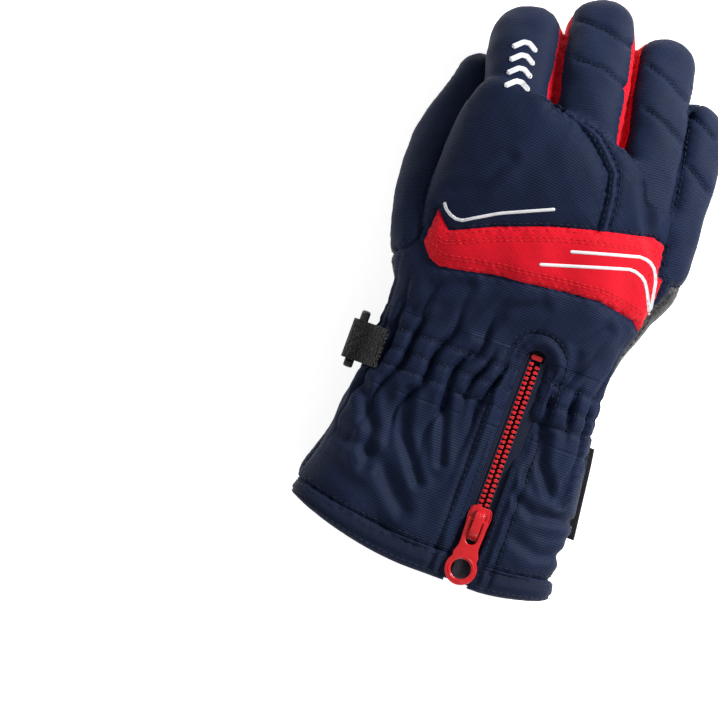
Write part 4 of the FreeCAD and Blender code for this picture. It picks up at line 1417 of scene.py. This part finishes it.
def zip_plastic(name, piece, body, node):
    """One red moulded piece, drawn about the zip's middle line."""
    hard_object(name, moved(piece, (ZIP_X, 0, 0)), body, "zip_plastic", MATERIALS["plastic"], node)


def build_chain():
    """Both rows of teeth on their cords, and the stop above them."""
    for name, way in (("thumb_side", -1), ("little_side", 1)):
        offset = 0.0 if way < 0 else TOOTH_PITCH / 2
        count = int((CHAIN_Y[1] - CHAIN_Y[0] - offset) / TOOTH_PITCH)
        row = [tooth(way, CHAIN_Y[0] + offset + i * TOOTH_PITCH) for i in range(count)]
        hard_object("zip_teeth_moulded_" + name, gather(*row), "glove", "zip_plastic", MATERIALS["plastic"],
                    "zip_teeth_" + name)
        stations = (CHAIN_Y[1], -20, -45, SPREAD_FROM_Y, CHAIN_Y[0])
        path = [(way * (TOOTH_OUT + 0.1 + spread(y)), y) for y in stations]
        rail = moved(plate([ribbon(path, 1.1)], 37.0, 38.2, 0.3), (ZIP_X, 0, 0))
        cord = make_object("zip_cord_" + name, *rail, "glove", "zip_tape")
        weld(cord)
        cord.data.materials.append(MATERIALS["tape"])
    stop = plate([rounded_box(-TOOTH_OUT, TOOTH_OUT, CHAIN_Y[1] + 0.3, CHAIN_Y[1] + 2.3, 0.8)], *TOOTH_Z, 0.3)
    zip_plastic("zip_top_stop_moulded", stop, "glove", "zip_top_stop")


def build_slider():
    """Two plates joined by a bridge, with rims that hold the chain and lugs for the bail."""
    y0, y1 = SLIDER_Y
    wide, narrow = SLIDER_HALF, 3.3
    shape = smooth_path([(narrow, y0), (narrow + 0.3, y0 + 2.5), (wide - 0.3, y0 + 6.0), (wide, y0 + 9.5),
                         (wide - 0.4, y1 - 1.2), (wide - 1.6, y1)], 4).tolist()
    outline = [(u, v) for u, v in shape] + [(-u, v) for u, v in shape[::-1]]
    (low0, low1), (high0, high1) = SLIDER_PLATES_Z
    pieces = [plate([outline], low0, low1, 0.25), plate([outline], high0, high1, 0.35)]
    bridge = arc(0, y0 + 2.0, BRIDGE_HALF, 0, 360, 12)[:-1]
    deep_bridge = [(u, y0 + 2.0 + (v - y0 - 2.0) * 4) for u, v in bridge]
    pieces.append(plate([deep_bridge], low1 - 0.2, high0 + 0.2, 0.05))
    for way in (-1, 1):
        rim = [(way * u, v) for u, v in shape]
        inner = [(way * (u - 0.7), v) for u, v in shape[::-1]]
        edge = rim + inner
        if way > 0:
            edge = edge[::-1]
        pieces += [plate([edge], low0, low1 + 0.3, 0.12), plate([edge], high0 - 0.3, high1, 0.12)]
    for side in (-1, 1):
        lug = rounded_box(side * 3.1 - 0.35, side * 3.1 + 0.35, y0 + 6.0, y0 + 11.0, 0.3)
        pieces.append(plate([lug], high1 - 0.2, high1 + 0.25, 0.1))
    zip_plastic("zip_slider_moulded", gather(*pieces), "zip_slider", "zip_slider")


def build_bail():
    """The arch on the slider that the pull turns in."""
    high1 = SLIDER_PLATES_Z[1][1]
    arch = smooth_path([(-63.0 + 0.5, high1 - 0.1), (-62.4, high1 + 1.6), (-60.8, BAIL_TOP_Z - 0.7),
                        (-57.5, BAIL_TOP_Z - 0.5), (-54.2, BAIL_TOP_Z - 0.7), (-52.6, high1 + 1.6),
                        (-52.5, high1 - 0.1)], 5)
    bail = plate([ribbon(arch, 1.0)], -BAIL_HALF, BAIL_HALF, 0.3)
    zip_plastic("slider_bail_moulded", turned(bail, (1, 2, 0)), "zip_slider", "slider_bail")


def build_pull():
    """A flat pull with a window for the bail, a pin across it and a lipped eye at its end."""
    ring_y = PIN_Y - PULL_RING_AT
    right = [(PULL_HALF, PIN_Y + 0.6), (PULL_HALF, PIN_Y - 5.0), (PULL_HALF - 0.2, PIN_Y - 8.4),
             (PULL_HALF - 0.1, PIN_Y - 11.2), (PULL_HALF + 0.9, PIN_Y - 13.8)]
    side = smooth_path(right, 4).tolist()
    start = math.degrees(math.atan2(side[-1][1] - ring_y, side[-1][0]))
    round_end = arc(0, ring_y, PULL_RING_R, start, -180 - start, 30)
    window = [(2.3, PIN_Y + 0.6), (2.3, PIN_Y - 6.9)] + arc(0, PIN_Y - 7.4, 2.3, -10, -170, 8) + [
        (-2.3, PIN_Y - 6.9), (-2.3, PIN_Y + 0.6)]
    outline = side + round_end[1:-1] + [(-u, v) for u, v in side[::-1]] + window[::-1]
    eye = arc(0, ring_y, PULL_EYE_R, 0, -350, 35)
    pull = plate([outline, eye], PIN_Z - 0.7, PIN_Z + 0.7, 0.42)
    ring = [(math.cos(t), math.sin(t)) for t in np.linspace(0, 2 * np.pi, 48, endpoint=False)]
    lip = [[(u * r, v * r + ring_y) for u, v in ring] for r in (PULL_EYE_R + 1.15, PULL_EYE_R + 0.55)]
    rim = plate([lip[0], lip[1][::-1]], PIN_Z - 0.85, PIN_Z + 0.85, 0.2)
    pin = loft([np.stack([np.full(16, u), PIN_Y + 0.72 * r * np.cos(np.arange(16) * np.pi / 8),
                          PIN_Z + 0.72 * r * np.sin(np.arange(16) * np.pi / 8)], 1)
                for u, r in ((-3.9, 0.6), (-3.7, 1.0), (3.7, 1.0), (3.9, 0.6))])
    zip_plastic("zip_pull_moulded", gather(pull, rim, pin), "zip_pull", "zip_pull")


def build_zip():
    build_chain()
    build_slider()
    build_bail()
    build_pull()
    for name in ("zip_tape_thumb_side", "zip_tape_little_side", "zip_gusset"):
        dress(name, MATERIALS["tape"])


def dress(node, material):
    """Give a CAD node that stays a material."""
    obj = bpy.data.objects[node]
    obj.data.materials.clear()
    obj.data.materials.append(material)


# ---- the clip and the label ----------------------------------------------------------------------
def rounded_route(route):
    """Points along a smooth line that is pulled towards each point of a route."""
    curve = bpy.data.curves.new("hook", "CURVE")
    curve.dimensions = "3D"
    spline = curve.splines.new("NURBS")
    spline.points.add(len(route) - 1)
    for point, place in zip(spline.points, route):
        point.co = (*place, 1)
    spline.order_u = 3
    spline.use_endpoint_u = True
    spline.resolution_u = 8
    holder = bpy.data.objects.new("hook", curve)
    bpy.context.collection.objects.link(holder)
    mesh = bpy.data.meshes.new_from_object(holder)
    line = np.array([v.co for v in mesh.vertices])
    bpy.data.objects.remove(holder)
    return line


def build_strap():
    path = smooth_path([(-42.2, 37.0), (-44.4, 34.9), (-46.9, 31.5), (-49.8, 28.6), (-53.2, 27.2),
                        (-55.3, 25.2), (-55.6, 22.4), (-55.2, 19.4), (-53.0, 17.8), (-49.6, 17.4),
                        (-46.2, 17.0)], 5)
    strap = turned(plate([ribbon(path, 1.2)], -14.5, 1.2, 0.3), (0, 2, 1))
    hard_object("clip_strap", strap, "glove", "webbing", MATERIALS["webbing"], "clip_loop")


def build_hook():
    """A rounded bar bent back on itself, with a bead at its mouth."""
    x = -52.5
    route = [(x, -16.0, 20.9), (x, -14.0, 20.0), (x, -8.0, 20.0), (x, 0.5, 20.0), (x, 3.6, 20.4),
             (x, 4.4, 22.5), (x, 3.6, 24.6), (x, 0.5, 25.0), (x, -6.0, 25.0), (x, -12.4, 25.0)]
    line = rounded_route(route)
    ahead = np.gradient(line, axis=0)
    ahead /= np.linalg.norm(ahead, axis=1)[:, None]
    aside = np.cross(ahead, (1.0, 0, 0))
    rings = []
    ends = [(0, 0.5), (0, 0.85)] + [(k, 1.0) for k in range(len(line))] + [(-1, 0.85), (-1, 0.5)]
    turn = np.arange(20) * np.pi / 10
    for number, (k, share) in enumerate(ends):
        past = {0: -0.8, 1: -0.5, len(ends) - 2: 0.5, len(ends) - 1: 0.8}.get(number, 0.0)
        c, s = np.cos(turn), np.sin(turn)
        wide = 1.75 * share * np.sign(c) * np.abs(c) ** 0.7
        tall = 1.05 * share * np.sign(s) * np.abs(s) ** 0.7
        rings.append(line[k] + ahead[k] * past + np.outer(wide, (1.0, 0, 0)) + aside[k] * tall[:, None])
    bead = [np.stack([np.full(24, x + u), -15.9 + r * np.cos(np.arange(24) * np.pi / 12),
                      20.8 + r * np.sin(np.arange(24) * np.pi / 12)], 1)
            for u, r in ((-1.85, 1.3), (-1.5, 1.75), (-0.6, 1.85), (0.6, 1.85), (1.5, 1.75), (1.85, 1.3))]
    hard_object("pair_hook_moulded", gather(loft(rings), loft(bead)), "pair_hook", "hook_plastic",
                MATERIALS["hook"], "pair_hook")


LABEL_Y = (-51.0, -15.0)
LABEL_Z = 20.3
LABEL_OUT = 5.6            # how far the folded label stands out of the seam


def label_root(y):
    """Where the label leaves the seam, and how far it waves there."""
    _, mid_x, _, half_a = station(y)[:4]
    return mid_x + half_a - 1.2, 0.25 * math.sin(y * 0.35)


def build_label():
    """A folded label sewn into the side seam, with plain bars instead of words."""
    steps = 26
    rows = []
    upper_leaf = [(0.0, 0.42), (2.0, 0.42), (4.0, 0.40), (5.2, 0.34)]
    fold = upper_leaf + [(LABEL_OUT, 0.0)] + [(u, -v) for u, v in upper_leaf[::-1]]
    for y in np.linspace(*LABEL_Y, steps):
        root, wave = label_root(y)
        rows.append([(root + u, y, LABEL_Z + v + wave * u / LABEL_OUT) for u, v in fold])
    verts = np.array(rows).reshape(-1, 3)
    count = len(fold)
    strip = np.array([[r * count + i, r * count + i + 1, (r + 1) * count + i + 1, (r + 1) * count + i]
                      for r in range(steps - 1) for i in range(count - 1)])
    tris = np.concatenate([strip[:, [0, 1, 2]], strip[:, [0, 2, 3]]])
    normals = vertex_normals(verts, tris)
    place = np.column_stack([verts[:, 0], verts[:, 1], np.full(len(verts), 9.0)])
    front, back = verts + normals * 0.12, verts - normals * 0.12
    obj = panel_object("side_label_folded", front, back, tris, place, "label")
    obj.data.materials.append(MATERIALS["label"])
    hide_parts("side_label")
    bars = []
    for i in range(7):
        y = -47.0 + 4.6 * i
        root, wave = label_root(y)
        bar = plate([rounded_box(1.2, 3.6, -0.8, 0.8, 0.5)], 0.50, 0.68, 0.05)
        bars.append(moved(bar, (root, y, LABEL_Z + wave * 0.45)))
    obj = make_object("label_bars", *gather(*bars), "glove", "label")
    weld(obj)
    obj.data.materials.append(MATERIALS["label_bars"])


# ---- stage ---------------------------------------------------------------------------------------
FLOOR_REACH = 3.0          # the stage is in metres
STAGE_AIM = (0, 0, 0.03)
LIGHTS = {                 # place, width and power
    "key": ((0.60, 0.66, 0.52), 0.34, 15.5),
    "fill": ((-0.75, 0.15, 0.60), 0.6, 0.6),
    "rim": ((0.35, -0.75, 0.45), 0.5, 1.8),
}
WORLD_LIGHT = 0.33
CAMERA_AIM = (-49.0, -13.7, 40.0)
CAMERA_TURN = 20           # degrees
CAMERA_LENS = 260
CAMERA_SENSOR = 36
PICTURE_WIDTH = 0.2762     # how much of the glove's plane the picture spans


def build_floor():
    mesh = bpy.data.meshes.new("floor")
    corners = [(x * FLOOR_REACH, y * FLOOR_REACH, 0) for x, y in ((-1, -1), (1, -1), (1, 1), (-1, 1))]
    mesh.from_pydata(corners, [], [(0, 1, 2, 3)])
    floor = bpy.data.objects.new("floor", mesh)
    bpy.context.collection.objects.link(floor)
    floor.location.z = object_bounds()[0].z - 0.0004
    graph = Graph("floor_paper", (0.90, 0.90, 0.90), 0.9, Emission_Color=(1, 1, 1, 1), Emission_Strength=0.75)
    floor.data.materials.append(graph.finish(graph.noise(3.0), 0.02))


def build_lights():
    for name, (place, width, power) in LIGHTS.items():
        data = bpy.data.lights.new(name, "AREA")
        data.shape = "DISK"
        data.size = width
        data.energy = power
        obj = bpy.data.objects.new(name, data)
        bpy.context.collection.objects.link(obj)
        obj.location = place
        obj.rotation_euler = (Vector(STAGE_AIM) - Vector(place)).to_track_quat("-Z", "Y").to_euler()
    world = bpy.data.worlds.new("studio")
    world.use_nodes = True
    background = world.node_tree.nodes["Background"].inputs
    background["Color"].default_value = (1, 1, 1, 1)
    background["Strength"].default_value = WORLD_LIGHT
    bpy.context.scene.world = world


def build_camera():
    """A camera straight above, turned as the glove is seen."""
    camera = bpy.data.cameras.new("camera")
    camera.lens = CAMERA_LENS
    camera.sensor_width = CAMERA_SENSOR
    obj = bpy.data.objects.new("camera", camera)
    bpy.context.collection.objects.link(obj)
    aim = to_row([CAMERA_AIM])[0]
    obj.location = (aim[0], aim[1], aim[2] + PICTURE_WIDTH * CAMERA_LENS / CAMERA_SENSOR)
    obj.rotation_euler = (0, 0, math.radians(CAMERA_TURN))
    bpy.context.scene.camera = obj
    bpy.context.scene.view_settings.view_transform = "Standard"


skin, panels, seam, outer, normals = build_shell()
build_prints(skin, outer)
build_stitches(skin, panels, seam, outer, normals)
build_layers()
build_zip()
build_strap()
build_hook()
build_label()
build_floor()
build_lights()
build_camera()
